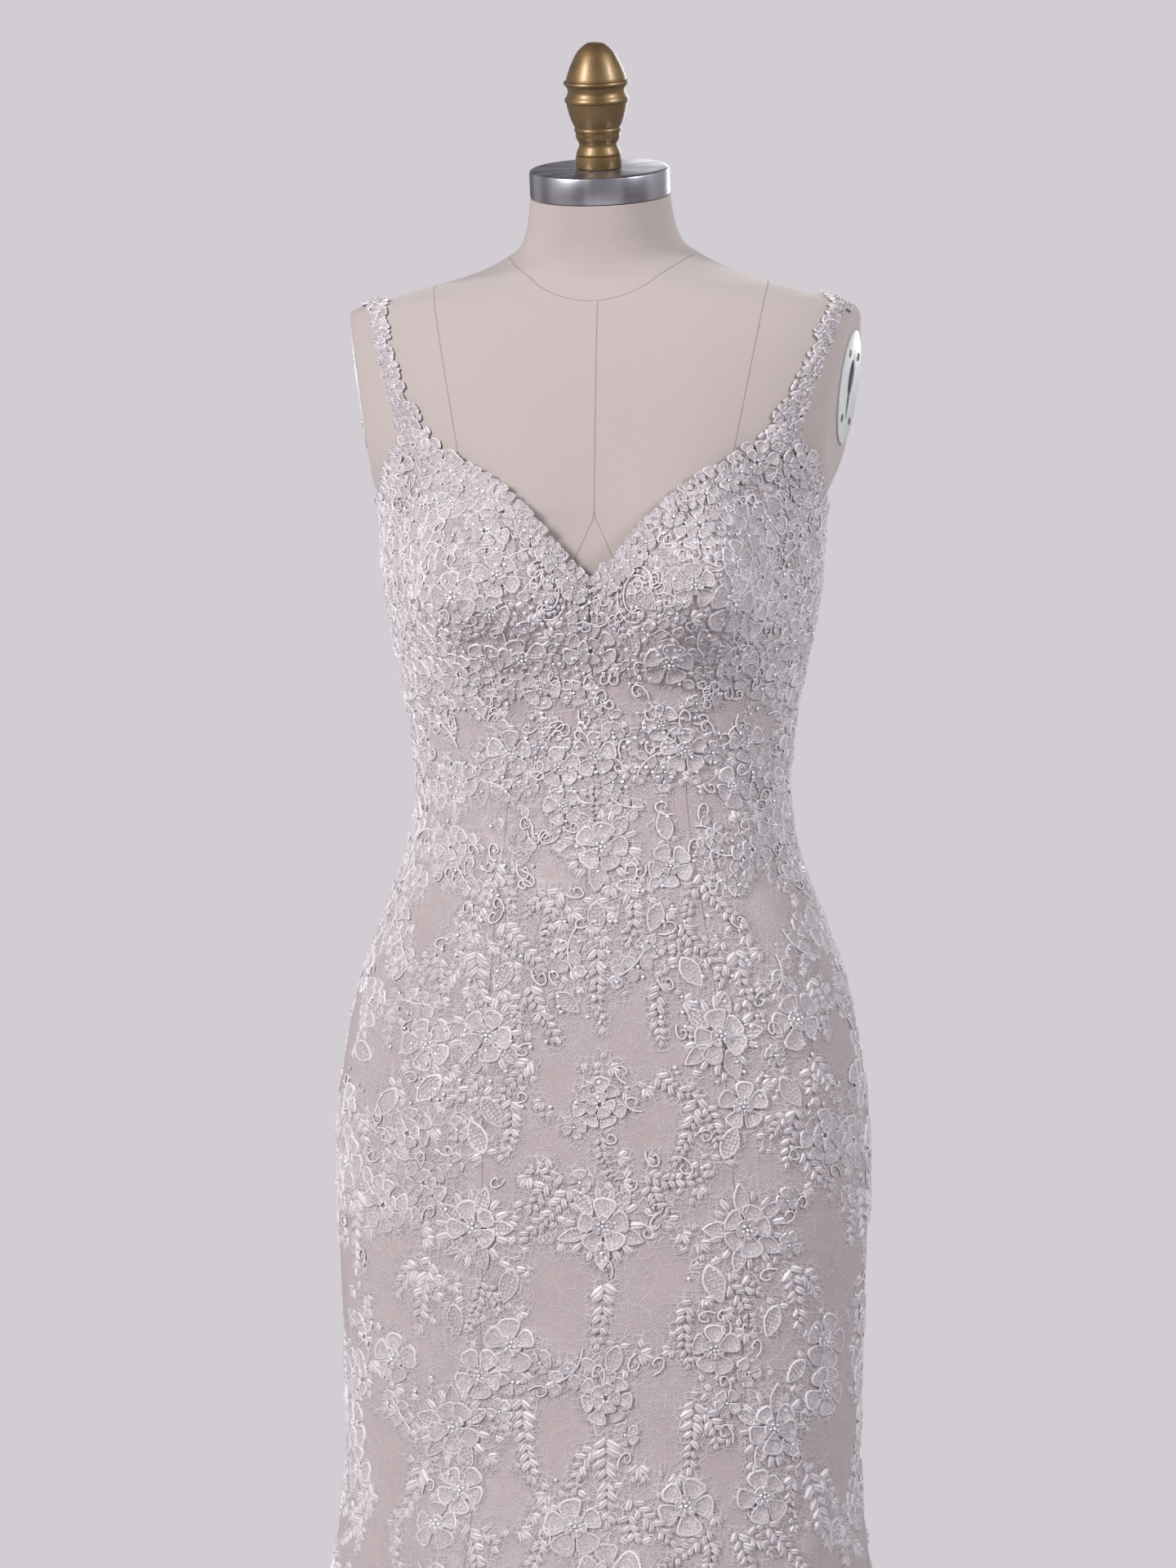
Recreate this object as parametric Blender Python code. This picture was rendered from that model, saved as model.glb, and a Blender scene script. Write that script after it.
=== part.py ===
"""Fitted lace wedding gown with a flared hem, worn by a limbless dress form on a floor stand.

Metres, +Z up. The gown faces -Y, the wearer's left side is +X, and the origin is on the floor under the form's
axis. Every cloth piece is a wall over one figure surface, which is given by sections round that axis: an angle
of 0 is the centre front, 90 the wearer's left side seam and 180 the centre back. "Lift" is a distance out from
the figure surface, along its normal.
"""

import math
from collections import namedtuple

import bmesh
import bpy
from mathutils import Matrix, Vector

# ---------------------------------------------------------------------------------------------- driving sizes

HEM_Z = 0.010
FORM_BOTTOM_Z = 0.790
WALL = 0.0015  # lace over net over satin lining
SEAM_GAP = 0.0003
FORM_LIFT = -0.0009  # the form's skin lies this far inside the figure surface
FORM_LIFT_COVERED = -0.0019  # and this far under the cups and panels
COVERED_TO_Z = 1.29
PANEL_LIFT = 0.0005  # inside of the body panels
CUP_LIFT = 0.0016  # inside of the cups, which stand a little off the bust
STRAP_LIFT = 0.0001
STRAP_LIFT_OVER_SHOULDER = 0.0020  # where its flat facets round the shoulder

Section = namedtuple("Section", "z half_width front back square lean_y tilt")
FIGURE = [
    # skirt: flared from the knee, straight over the thigh
    Section(0.000, 0.408, 0.348, 0.478, 2.00, 0, 0),
    Section(0.120, 0.372, 0.312, 0.428, 2.00, 0, 0),
    Section(0.250, 0.322, 0.268, 0.358, 2.00, 0, 0),
    Section(0.380, 0.264, 0.220, 0.284, 2.00, 0, 0),
    Section(0.480, 0.221, 0.182, 0.228, 2.00, 0, 0),
    Section(0.560, 0.188, 0.150, 0.182, 2.05, 0, 0),
    Section(0.605, 0.1775, 0.136, 0.162, 2.10, 0, 0),
    Section(0.650, 0.1720, 0.126, 0.148, 2.15, 0, 0),
    Section(0.700, 0.1738, 0.120, 0.141, 2.20, 0, 0),
    Section(0.780, 0.1780, 0.116, 0.140, 2.20, 0, 0),
    Section(0.860, 0.1805, 0.114, 0.142, 2.20, 0, 0),
    # hip, waist and rib cage
    Section(0.920, 0.1770, 0.112, 0.139, 2.20, 0, 0),
    Section(0.970, 0.1678, 0.110, 0.130, 2.20, 0, 0),
    Section(1.020, 0.1515, 0.107, 0.115, 2.15, 0, 0),
    Section(1.070, 0.1325, 0.101, 0.098, 2.10, 0, 0),
    Section(1.110, 0.1257, 0.097, 0.089, 2.10, 0, 0),
    Section(1.140, 0.1272, 0.097, 0.087, 2.10, 0, 0),
    Section(1.175, 0.1325, 0.100, 0.091, 2.15, 0, 0),
    Section(1.210, 0.1395, 0.103, 0.097, 2.20, 0, 0),
    Section(1.245, 0.1465, 0.106, 0.104, 2.25, 0, 0),
    Section(1.280, 0.1495, 0.108, 0.110, 2.30, 0, 0),
    # chest and shoulders
    Section(1.308, 0.1520, 0.108, 0.114, 2.35, 0, 0),
    Section(1.340, 0.1650, 0.104, 0.116, 2.40, 0, 0),
    Section(1.380, 0.1750, 0.095, 0.114, 2.40, 0, 0),
    Section(1.412, 0.1795, 0.084, 0.107, 2.35, 0, 0),
    Section(1.432, 0.1785, 0.074, 0.098, 2.25, 0, 0),
    Section(1.444, 0.1755, 0.066, 0.089, 2.15, 0, 0),
    Section(1.4515, 0.1520, 0.062, 0.082, 2.08, 0, 1),
    Section(1.459, 0.1280, 0.0600, 0.076, 2.04, 0, 4),
    Section(1.466, 0.1030, 0.0580, 0.070, 2.00, 0, 9),
    # neck, leaning forward up to the cap
    Section(1.4725, 0.0826, 0.0565, 0.0650, 2.00, -0.001, 14),
    Section(1.479, 0.0690, 0.0550, 0.0610, 2.00, -0.002, 17),
    Section(1.486, 0.0585, 0.0535, 0.0575, 2.00, -0.003, 18),
    Section(1.496, 0.0532, 0.0515, 0.0540, 2.00, -0.006, 17.5),
    Section(1.508, 0.0504, 0.0500, 0.0515, 2.00, -0.010, 17),
    Section(1.520, 0.0490, 0.0485, 0.0490, 2.00, -0.014, 16.8),
]
NECK_TOP = FIGURE[-1]

BUST_ANGLE = math.radians(32)
BUST_Z = 1.243
BUST_RISE = 0.034
BUST_HALF_WIDTH = 0.045
BUST_HALF_ABOVE = 0.058
BUST_HALF_BELOW = 0.040

FLUTE_COUNT = 10
FLUTE_TOP_Z = 0.640
FLUTE_DEPTH = 0.031  # at the hem
ARM_PLANE_X = 0.1725  # the armhole is cut flat this far out, at ARM_PLANE_Z
ARM_PLANE_Z = 1.409
ARM_PLANE_FORWARD = math.radians(8.4)  # the flat faces a little to the front
ARM_PLANE_DOWN = math.radians(8)  # and a little down

# The gown hangs turned on the form, more to the knee: the angle of its centre front, degrees.
Turn = namedtuple("Turn", "z degrees")
GOWN_TURN = [Turn(0.0, 8.0), Turn(0.72, 8.0), Turn(1.05, 4.5), Turn(1.20, 3.0), Turn(1.45, 3.0)]

# Heights where the edges of the cloth run, each a row for an angle round the gown in degrees.
Edge = namedtuple("Edge", "angle z")
CUP_SEAM = [
    Edge(0, 1.203), Edge(15, 1.198), Edge(35, 1.190), Edge(50, 1.194), Edge(60, 1.206),
    Edge(70, 1.242), Edge(77, 1.282), Edge(82, 1.302), Edge(90, 1.305),
]
NECKLINE = [
    Edge(0, 1.247), Edge(8, 1.260), Edge(19, 1.289), Edge(31, 1.313), Edge(43, 1.328), Edge(46, 1.334),
    Edge(66, 1.334), Edge(69, 1.322), Edge(74, 1.311), Edge(82, 1.3055),
]
BACK_EDGE = [
    Edge(90, 1.305), Edge(104, 1.300), Edge(116, 1.312), Edge(118, 1.315), Edge(136, 1.315),
    Edge(142, 1.298), Edge(155, 1.246), Edge(168, 1.196), Edge(180, 1.170),
]
STRAP_FRONT = (46, 66)  # the strap's inner and outer edge at the neckline, degrees
STRAP_BACK = (136, 118)

PRINCESS_SEAM = [Edge(39, 0.0), Edge(39, 0.72), Edge(38, 0.90), Edge(34, 1.11), Edge(37, 1.20)]
BACK_SEAM_ANGLE = 142
SIDE_SEAM_ANGLE = 90
FRONT_COLUMNS = 14
SIDE_FRONT_COLUMNS = 10
SIDE_BACK_COLUMNS = 10
BACK_COLUMNS = 8

# Rings of the body panels. Those over UPPER_FROM are spread between it and the panel's own top edge.
PANEL_LEVELS = [
    HEM_Z, 0.085, 0.160, 0.235, 0.310, 0.380, 0.445, 0.505, 0.555, 0.597, 0.632, 0.662, 0.695, 0.735,
    0.790, 0.850, 0.905, 0.952, 0.990, 1.025, 1.057, 1.087, 1.117, 1.147,
]
UPPER_FROM = PANEL_LEVELS[-1]
UPPER_RINGS = 4

Station = namedtuple("Station", "inner_x outer_x y z")
STRAP_STATIONS = [
    Station(0.1140, 0.1455, -0.083, 1.355),
    Station(0.1260, 0.1480, -0.073, 1.376),
    Station(0.1350, 0.1510, -0.060, 1.398),
    Station(0.1410, 0.1550, -0.042, 1.421),
    Station(0.1445, 0.1585, -0.022, 1.440),
    Station(0.1450, 0.1595, -0.002, 1.449),
    Station(0.1445, 0.1590, 0.020, 1.444),
    Station(0.1420, 0.1565, 0.044, 1.431),
    Station(0.1360, 0.1530, 0.066, 1.408),
    Station(0.1250, 0.1480, 0.084, 1.376),
]

# ---------------------------------------------------------------------------------------- the figure's surface


def smooth_read(keys, values, at):
    """The value at a key, on a smooth curve through the rows of a table."""
    at = min(max(at, keys[0]), keys[-1])
    i = max(k for k in range(len(keys) - 1) if keys[k] <= at)
    span = keys[i + 1] - keys[i]
    t = (at - keys[i]) / span

    def slope(k):
        low, high = max(k - 1, 0), min(k + 1, len(keys) - 1)
        return (values[high] - values[low]) / (keys[high] - keys[low]) * span

    return (
        values[i] * (1 + 2 * t) * (1 - t) ** 2
        + slope(i) * t * (1 - t) ** 2
        + values[i + 1] * t * t * (3 - 2 * t)
        - slope(i + 1) * t * t * (1 - t)
    )


def straight_read(rows, at, key, value):
    """The value at a key, on straight runs between the rows of a table."""
    pairs = [(getattr(row, key), getattr(row, value)) for row in rows]
    if at <= pairs[0][0]:
        return pairs[0][1]
    for (k0, v0), (k1, v1) in zip(pairs, pairs[1:]):
        if at <= k1:
            return v0 + (v1 - v0) * (at - k0) / (k1 - k0)
    return pairs[-1][1]


FIGURE_Z = [section.z for section in FIGURE]
FIGURE_COLUMNS = {name: [getattr(s, name) for s in FIGURE] for name in Section._fields[1:]}
section_cache = {}


def section_at(z):
    """The figure's section at a height, as a dict of its columns."""
    key = round(z, 7)
    if key not in section_cache:
        section_cache[key] = {
            name: smooth_read(FIGURE_Z, column, z) for name, column in FIGURE_COLUMNS.items()
        }
    return section_cache[key]


def wrapped(angle):
    return (angle + math.pi) % (2 * math.pi) - math.pi


def bust_rise(angle, radius, z):
    """How far the two breasts together stand out from the rib cage."""
    half_height = BUST_HALF_ABOVE if z > BUST_Z else BUST_HALF_BELOW
    along = (z - BUST_Z) / half_height
    across = [(wrapped(angle) - side * BUST_ANGLE) * radius / BUST_HALF_WIDTH for side in (-1, 1)]
    return BUST_RISE * math.exp(-(along**2)) * sum(math.exp(-(a**2)) for a in across)


def flute_wave(angle, z):
    """The skirt's folds below the knee: deeper to the hem, uneven in spacing and depth."""
    if z >= FLUTE_TOP_Z:
        return 0.0
    share = (FLUTE_TOP_Z - z) / (FLUTE_TOP_Z - HEM_Z)
    turn = angle + 0.08 * math.sin(3 * angle + 0.6) + 0.04 * math.sin(4 * angle + 2.0)
    uneven = 1 + 0.24 * math.sin(3 * angle + 1.1) + 0.14 * math.sin(5 * angle)
    return FLUTE_DEPTH * share**1.35 * uneven * math.cos(FLUTE_COUNT * turn)


def arm_plane_radius(angle, z):
    """The radius at which the armhole's flat lies in this direction, or a large one where it faces away."""
    along = math.sin(abs(wrapped(angle)) + ARM_PLANE_FORWARD)
    reach = ARM_PLANE_X * math.cos(ARM_PLANE_FORWARD) + (z - ARM_PLANE_Z) * math.tan(ARM_PLANE_DOWN)
    return reach / along if along > 0.2 else 1.0


def figure_radius(angle, z):
    section = section_at(z)
    depth = section["front"] if math.cos(angle) > 0 else section["back"]
    power = section["square"]
    radius = (
        abs(math.sin(angle) / section["half_width"]) ** power + abs(math.cos(angle) / depth) ** power
    ) ** (-1 / power)
    radius += bust_rise(angle, radius, z) + flute_wave(angle, z)
    return min(radius, arm_plane_radius(angle, z)) if 1.30 < z < 1.46 else radius


def figure_point(angle, z):
    """The point of the figure's surface in a direction and at a height; neck rings tilt with the neck."""
    section = section_at(z)
    radius = figure_radius(angle, z)
    x, y = radius * math.sin(angle), -radius * math.cos(angle)
    return Vector((x, y + section["lean_y"], z + y * math.tan(math.radians(section["tilt"]))))


def figure_normal(angle, z, step=0.002):
    """The outward normal, from the surface's own slopes round and up."""
    around = figure_point(angle + step * 6, z) - figure_point(angle - step * 6, z)
    low, high = max(z - step, 0.0), min(z + step, NECK_TOP.z)
    return around.cross(figure_point(angle, high) - figure_point(angle, low)).normalized()


def lifted(angle, z, lift):
    return figure_point(angle, z) + figure_normal(angle, z) * lift


def gown_turn(z):
    return math.radians(straight_read(GOWN_TURN, z, "z", "degrees"))


def gown_point(angle, z, lift):
    """A point at a lift over the figure, for an angle from the gown's own centre front."""
    return lifted(angle + gown_turn(z), z, lift)


def height_above(point):
    """How far a point near the shoulder lies outside the figure, measured level."""
    angle = math.atan2(point.x, -point.y)
    return math.hypot(point.x, point.y) - figure_radius(angle, point.z)


def snapped(point, lift):
    """The point of the figure's surface nearest to a point by it, moved out by lift."""
    step = 0.0005
    for _ in range(12):
        here = height_above(point)
        slope = Vector([
            (height_above(point + Vector(axis) * step) - height_above(point - Vector(axis) * step)) / (2 * step)
            for axis in ((1, 0, 0), (0, 1, 0), (0, 0, 1))
        ])
        point = point - slope * (here / slope.length_squared)
    return point + slope.normalized() * lift


# ------------------------------------------------------------------------------------ objects and materials


def clear_scene():
    for obj in list(bpy.data.objects):
        bpy.data.objects.remove(obj)


def new_collection(name):
    collection = bpy.data.collections.new(name)
    bpy.context.scene.collection.children.link(collection)
    return collection


def material(name, color, roughness, metallic=0.0):
    made = bpy.data.materials.new(name)
    made.use_nodes = True
    shader = made.node_tree.nodes["Principled BSDF"]
    shader.inputs["Base Color"].default_value = (*color, 1)
    shader.inputs["Roughness"].default_value = roughness
    shader.inputs["Metallic"].default_value = metallic
    return made


def face_outward(mesh):
    bmesh.ops.recalc_face_normals(mesh, faces=mesh.faces[:])
    if mesh.calc_volume(signed=True) < 0:
        bmesh.ops.reverse_faces(mesh, faces=mesh.faces[:])


def add_object(name, mesh, finish, smooth=True):
    """Turns a bmesh into an object of the model's collection."""
    face_outward(mesh)
    data = bpy.data.meshes.new(name)
    mesh.to_mesh(data)
    mesh.free()
    data.materials.append(finish)
    if smooth:
        data.shade_smooth()
        data.set_sharp_from_angle(angle=math.radians(40))
    obj = bpy.data.objects.new(name, data)
    bpy.data.collections[COLLECTION].objects.link(obj)
    return obj


def add_wall(name, columns, rows, place, finish):
    """A closed cloth wall. place(u, v, outside) gives the point at u, v from 0 to 1 on its inside or outside."""
    mesh = bmesh.new()
    bmesh.ops.create_grid(mesh, x_segments=columns, y_segments=rows, size=0.5)
    bmesh.ops.solidify(mesh, geom=mesh.faces[:], thickness=1.0)
    middle = sum(v.co.z for v in mesh.verts) / len(mesh.verts)
    for v in mesh.verts:
        v.co = place(v.co.x + 0.5, v.co.y + 0.5, v.co.z > middle)
    return add_object(name, mesh, finish)


COLLECTION = "wedding_dress"

# ------------------------------------------------------------------------------------------ body of the gown


def cup_seam_z(angle):
    return straight_read(CUP_SEAM, math.degrees(abs(angle)), "angle", "z")


def back_edge_z(angle):
    return straight_read(BACK_EDGE, math.degrees(abs(angle)), "angle", "z")


def neckline_z(angle):
    return straight_read(NECKLINE, math.degrees(abs(angle)), "angle", "z")


def panel_top_z(angle):
    return cup_seam_z(angle) if abs(angle) < math.radians(SIDE_SEAM_ANGLE) else back_edge_z(angle)


def princess_angle(z):
    return math.radians(straight_read([Edge(e.z, e.angle) for e in PRINCESS_SEAM], z, "angle", "z"))


def panel_ring_z(v, angle):
    """The height of a ring at v from 0 at the hem to 1 at the top edge."""
    ring = v * (len(PANEL_LEVELS) - 1 + UPPER_RINGS)
    if ring <= len(PANEL_LEVELS) - 1:
        low = min(int(ring + 1e-6), len(PANEL_LEVELS) - 2)
        return PANEL_LEVELS[low] + (PANEL_LEVELS[low + 1] - PANEL_LEVELS[low]) * (ring - low)
    share = (ring - len(PANEL_LEVELS) + 1) / UPPER_RINGS
    return UPPER_FROM + share * (panel_top_z(angle) - SEAM_GAP / 2 - UPPER_FROM)


def on_facets(angle, z, lift):
    """A point at a lift over the flat facets between two rings of the panels."""
    ring = max((k for k in range(len(PANEL_LEVELS)) if PANEL_LEVELS[k] <= z), default=0)
    low = PANEL_LEVELS[ring]
    high = PANEL_LEVELS[ring + 1] if low < UPPER_FROM else panel_top_z(angle)
    share = (z - low) / (high - low)
    return gown_point(angle, low, lift).lerp(gown_point(angle, high, lift), share)


def add_panel(name, first_seam, last_seam, columns, finish):
    """A long body panel between two seams, each a function that gives its angle at a height."""

    def place(u, v, outside):
        z = panel_ring_z(v, first_seam(1.0) * (1 - u) + last_seam(1.0) * u)
        half_gap = SEAM_GAP / 2 / figure_radius(first_seam(z), z)
        half_gap *= 1 if last_seam(z) > first_seam(z) else -1
        start, end = first_seam(z) + half_gap, last_seam(z) - half_gap
        angle = start + (end - start) * u
        z = panel_ring_z(v, angle)
        return gown_point(angle, z, PANEL_LIFT + (WALL if outside else 0))

    rows = len(PANEL_LEVELS) - 1 + UPPER_RINGS
    return add_wall(name, columns, rows, place, finish)


def add_body_panels(finish):
    """Centre front, side fronts, side backs and the two backs that close at the centre back."""

    def fixed(degrees):
        return lambda z: math.radians(degrees)

    add_panel("front_panel", lambda z: -princess_angle(z), princess_angle, FRONT_COLUMNS, finish)
    for word, side in (("left", 1), ("right", -1)):
        princess = (lambda z: princess_angle(z)) if side > 0 else (lambda z: -princess_angle(z))
        side_seam, back_seam = fixed(side * SIDE_SEAM_ANGLE), fixed(side * BACK_SEAM_ANGLE)
        add_panel(f"side_front_{word}", princess, side_seam, SIDE_FRONT_COLUMNS, finish)
        add_panel(f"side_back_{word}", side_seam, back_seam, SIDE_BACK_COLUMNS, finish)
        add_panel(f"back_{word}", back_seam, fixed(side * 180), BACK_COLUMNS, finish)


# -------------------------------------------------------------------------------- cups, lace edge and straps

CUP_ROWS = 8
CUP_OUTER_COLUMN = 8  # of the side front's columns, counted from the princess seam


def cup_columns():
    """The angles of the cup's columns, which stand on those of the panels under it."""
    princess = princess_angle(cup_seam_z(math.radians(PRINCESS_SEAM[-1].angle)))
    half_front = FRONT_COLUMNS // 2
    inner = [princess * k / half_front for k in range(half_front + 1)]
    side_step = (math.radians(SIDE_SEAM_ANGLE) - princess) / SIDE_FRONT_COLUMNS
    outer = [princess + side_step * k for k in range(1, CUP_OUTER_COLUMN + 1)]
    return [math.radians(0.2), *inner[1:], *outer]


def add_cup(name, side, finish):
    """A moulded cup from the seam under the bust up to the neckline and the strap."""

    columns = cup_columns()

    def place(u, v, outside):
        angle = columns[round(u * (len(columns) - 1))]
        low, high = cup_seam_z(angle) + SEAM_GAP / 2, neckline_z(angle) - SEAM_GAP / 2
        z = low + (high - low) * v
        eased = min(1.0, 0.15 + v * 3, 0.15 + (columns[-1] - angle) * 4)
        lift = PANEL_LIFT + (CUP_LIFT - PANEL_LIFT) * eased
        return gown_point(side * angle, z, lift + (WALL if outside else 0))

    return add_wall(name, len(columns) - 1, CUP_ROWS, place, finish)


def strap_rows(side):
    """The strap's inner and outer edge points from the front neckline over the shoulder to the back."""
    front = [gown_point(side * math.radians(a), neckline_z(math.radians(a)), 0) for a in STRAP_FRONT]
    back = [gown_point(side * math.radians(a), back_edge_z(math.radians(a)), 0) for a in STRAP_BACK]
    turn = Matrix.Rotation(gown_turn(STRAP_STATIONS[0].z), 3, "Z")
    rows = [[turn @ Vector((side * x, s.y, s.z)) for x in (s.inner_x, s.outer_x)] for s in STRAP_STATIONS]
    return [front, *rows, back]


STRAP_LENGTH_STEPS = 26
STRAP_WIDTH_STEPS = 3


def add_strap(name, side, finish):
    """A lace strap that lies on the shoulder, wide at the neckline and narrow at the top."""
    rows = strap_rows(side)
    steps = list(range(len(rows)))

    def edge_point(edge, along):
        return Vector([smooth_read(steps, [row[edge][axis] for row in rows], along) for axis in range(3)])

    def place(u, v, outside):
        lift = STRAP_LIFT + STRAP_LIFT_OVER_SHOULDER * math.sin(math.pi * v) + (WALL if outside else 0)
        if v < 1e-6 or v > 1 - 1e-6:  # the ends abut the neckline and the back edge
            inner, outer = STRAP_FRONT if v < 0.5 else STRAP_BACK
            angle = math.radians(inner + (outer - inner) * u)
            z = neckline_z(angle) if v < 0.5 else back_edge_z(angle)
            return gown_point(side * angle, z + SEAM_GAP / 2, lift)
        along = v * (len(rows) - 1)
        return snapped(edge_point(0, along).lerp(edge_point(1, along), u), lift)

    return add_wall(name, STRAP_WIDTH_STEPS, STRAP_LENGTH_STEPS, place, finish)


LACE_WALL = 0.0011
LACE_EDGE_DEPTH = 0.012
LACE_EDGE_STAND = 0.003
SCALLOP_HEIGHT = 0.004
SCALLOP_COUNT = 8
SCALLOP_STEPS = 4


def add_lace_edge(name, side, finish):
    """The scalloped lace border along the neckline of a cup, from the centre point to the strap."""
    first, last = math.radians(1.2), math.radians(STRAP_FRONT[0] - 1.0)

    def place(u, v, outside):
        angle = first + (last - first) * u
        scallop = abs(math.sin(math.pi * SCALLOP_COUNT * u)) ** 0.7 * SCALLOP_HEIGHT
        low, high = -LACE_EDGE_DEPTH, LACE_EDGE_STAND + scallop
        z = neckline_z(angle) + low + (high - low) * v
        lift = CUP_LIFT + WALL + 3 * SEAM_GAP + (LACE_WALL if outside else 0)
        return gown_point(side * angle, z, lift)

    return add_wall(name, SCALLOP_COUNT * SCALLOP_STEPS, 1, place, finish)


# ------------------------------------------------------------------------------------------ lace appliques

APPLIQUE_CLEAR = 0.0010
APPLIQUE_WALL = 0.0012
APPLIQUE_RAISE = 0.0012  # the petals' crowns
PETALS = 5
OUTLINE_STEPS = 20

Applique = namedtuple("Applique", "name angle z radius turn")
APPLIQUES = [
    # centre front, waist to knee
    Applique("bloom_front_waist", 2, 1.075, 0.030, 10),
    Applique("bloom_front_hip_left", 37, 0.950, 0.030, 50),
    Applique("bloom_front_hip_right", -37, 0.950, 0.030, -50),
    Applique("bloom_front_thigh_centre", 0, 0.825, 0.032, 0),
    Applique("bloom_front_thigh_left", 41, 0.822, 0.029, 20),
    Applique("bloom_front_thigh_right", -41, 0.822, 0.029, -20),
    Applique("bloom_front_knee_left", 46, 0.690, 0.031, 35),
    Applique("bloom_front_knee_right", -46, 0.690, 0.031, -35),
    # sides and back
    Applique("bloom_side_left", 108, 0.880, 0.030, 15),
    Applique("bloom_side_right", -108, 0.880, 0.030, -15),
    Applique("bloom_back_left", 148, 0.830, 0.031, 5),
    Applique("bloom_back_right", -148, 0.830, 0.031, -5),
]


def petal_reach(turn):
    """The outline of a five-petalled bloom: 1 at a petal's tip."""
    return 0.74 + 0.26 * abs(math.cos(PETALS * turn / 2)) ** 0.8


def add_applique(row, finish):
    """A bloom cut from corded lace and laid on the panel."""
    mesh = bmesh.new()
    bmesh.ops.create_circle(mesh, segments=OUTLINE_STEPS, radius=1.0, cap_ends=True)
    bmesh.ops.inset_individual(mesh, faces=mesh.faces[:], thickness=0.52, use_even_offset=False)
    bmesh.ops.poke(mesh, faces=[max(mesh.faces, key=lambda face: len(face.verts))])
    bmesh.ops.solidify(mesh, geom=mesh.faces[:], thickness=1.0)
    middle = sum(v.co.z for v in mesh.verts) / len(mesh.verts)
    angle = math.radians(row.angle)
    around = row.radius / figure_radius(angle, row.z)
    for v in mesh.verts:
        reach = math.hypot(v.co.x, v.co.y)
        turn = math.atan2(v.co.y, v.co.x)
        scale = reach * petal_reach(turn) * row.radius
        spin = turn + math.radians(row.turn)
        lift = PANEL_LIFT + WALL + APPLIQUE_CLEAR
        if v.co.z > middle:
            lift += APPLIQUE_WALL + (APPLIQUE_RAISE if 0.2 < reach < 0.8 else 0)
        sideways = scale * math.cos(spin) / row.radius * around
        v.co = on_facets(angle + sideways, row.z + scale * math.sin(spin), lift)
    return add_object(row.name, mesh, finish)


# ------------------------------------------------------------------------------------ centre back closing

PLACKET_HALF_WIDTH = 0.008
PLACKET_FIRST_RING = PANEL_LEVELS.index(0.905)
PLACKET_FACE = PANEL_LIFT + WALL + 3 * SEAM_GAP + LACE_WALL
BUTTON_COUNT = 12
BUTTON_RADIUS = 0.0055
BUTTON_HEIGHT = 0.0042
BUTTON_TOP_MARGIN = 0.012


def add_placket(finish):
    """The narrow strip over the closing at the centre back, with its rings on the panels' own."""
    rings = len(PANEL_LEVELS) - 1 + UPPER_RINGS

    def place(u, v, outside):
        z = panel_ring_z((PLACKET_FIRST_RING + v * (rings - PLACKET_FIRST_RING)) / rings, math.pi)
        angle = math.pi + (2 * u - 1) * PLACKET_HALF_WIDTH / figure_radius(math.pi, z)
        return gown_point(angle, z, PLACKET_FACE - (0 if outside else LACE_WALL))

    return add_wall("back_placket", 2, rings - PLACKET_FIRST_RING, place, finish)


def button_mesh(finish):
    """A covered button: a low dome on a flat back."""
    mesh = bmesh.new()
    bmesh.ops.create_uvsphere(mesh, u_segments=8, v_segments=6, radius=1.0)
    bmesh.ops.bisect_plane(
        mesh, geom=mesh.verts[:] + mesh.edges[:] + mesh.faces[:], plane_co=(0, 0, 0), plane_no=(0, 0, 1),
        clear_inner=True,
    )
    bmesh.ops.holes_fill(mesh, edges=[edge for edge in mesh.edges if edge.is_boundary], sides=0)
    bmesh.ops.scale(mesh, vec=(BUTTON_RADIUS, BUTTON_RADIUS, BUTTON_HEIGHT), verts=mesh.verts[:])
    face_outward(mesh)
    data = bpy.data.meshes.new("covered_button")
    mesh.to_mesh(data)
    mesh.free()
    data.materials.append(finish)
    data.shade_smooth()
    data.set_sharp_from_angle(angle=math.radians(40))
    return data


def add_buttons(finish):
    shared = button_mesh(finish)
    top = back_edge_z(math.pi) - BUTTON_TOP_MARGIN
    pitch = (top - PANEL_LEVELS[PLACKET_FIRST_RING] - BUTTON_TOP_MARGIN) / (BUTTON_COUNT - 1)
    for i in range(BUTTON_COUNT):
        z = top - i * pitch
        button = bpy.data.objects.new(f"button_{i + 1:02d}", shared)
        button.location = on_facets(math.pi, z, PLACKET_FACE + 2 * SEAM_GAP)
        button.rotation_mode = "QUATERNION"
        button.rotation_quaternion = figure_normal(math.pi + gown_turn(z), z).to_track_quat("Z", "Y")
        bpy.data.collections[COLLECTION].objects.link(button)


# ------------------------------------------------------------------------------------- dress form and stand

TORSO_COLUMNS = 36
TORSO_LEVELS = [
    FORM_BOTTOM_Z, 0.850, 0.905, 0.952, 0.990, 1.025, 1.057, 1.087, 1.117, 1.147, 1.185, 1.215, 1.243, 1.268,
    1.300, 1.330, 1.356, 1.380, 1.402, 1.420, 1.434, 1.444, 1.451, 1.457, 1.463, 1.470, 1.478, 1.488, 1.500,
    NECK_TOP.z,
]


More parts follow.
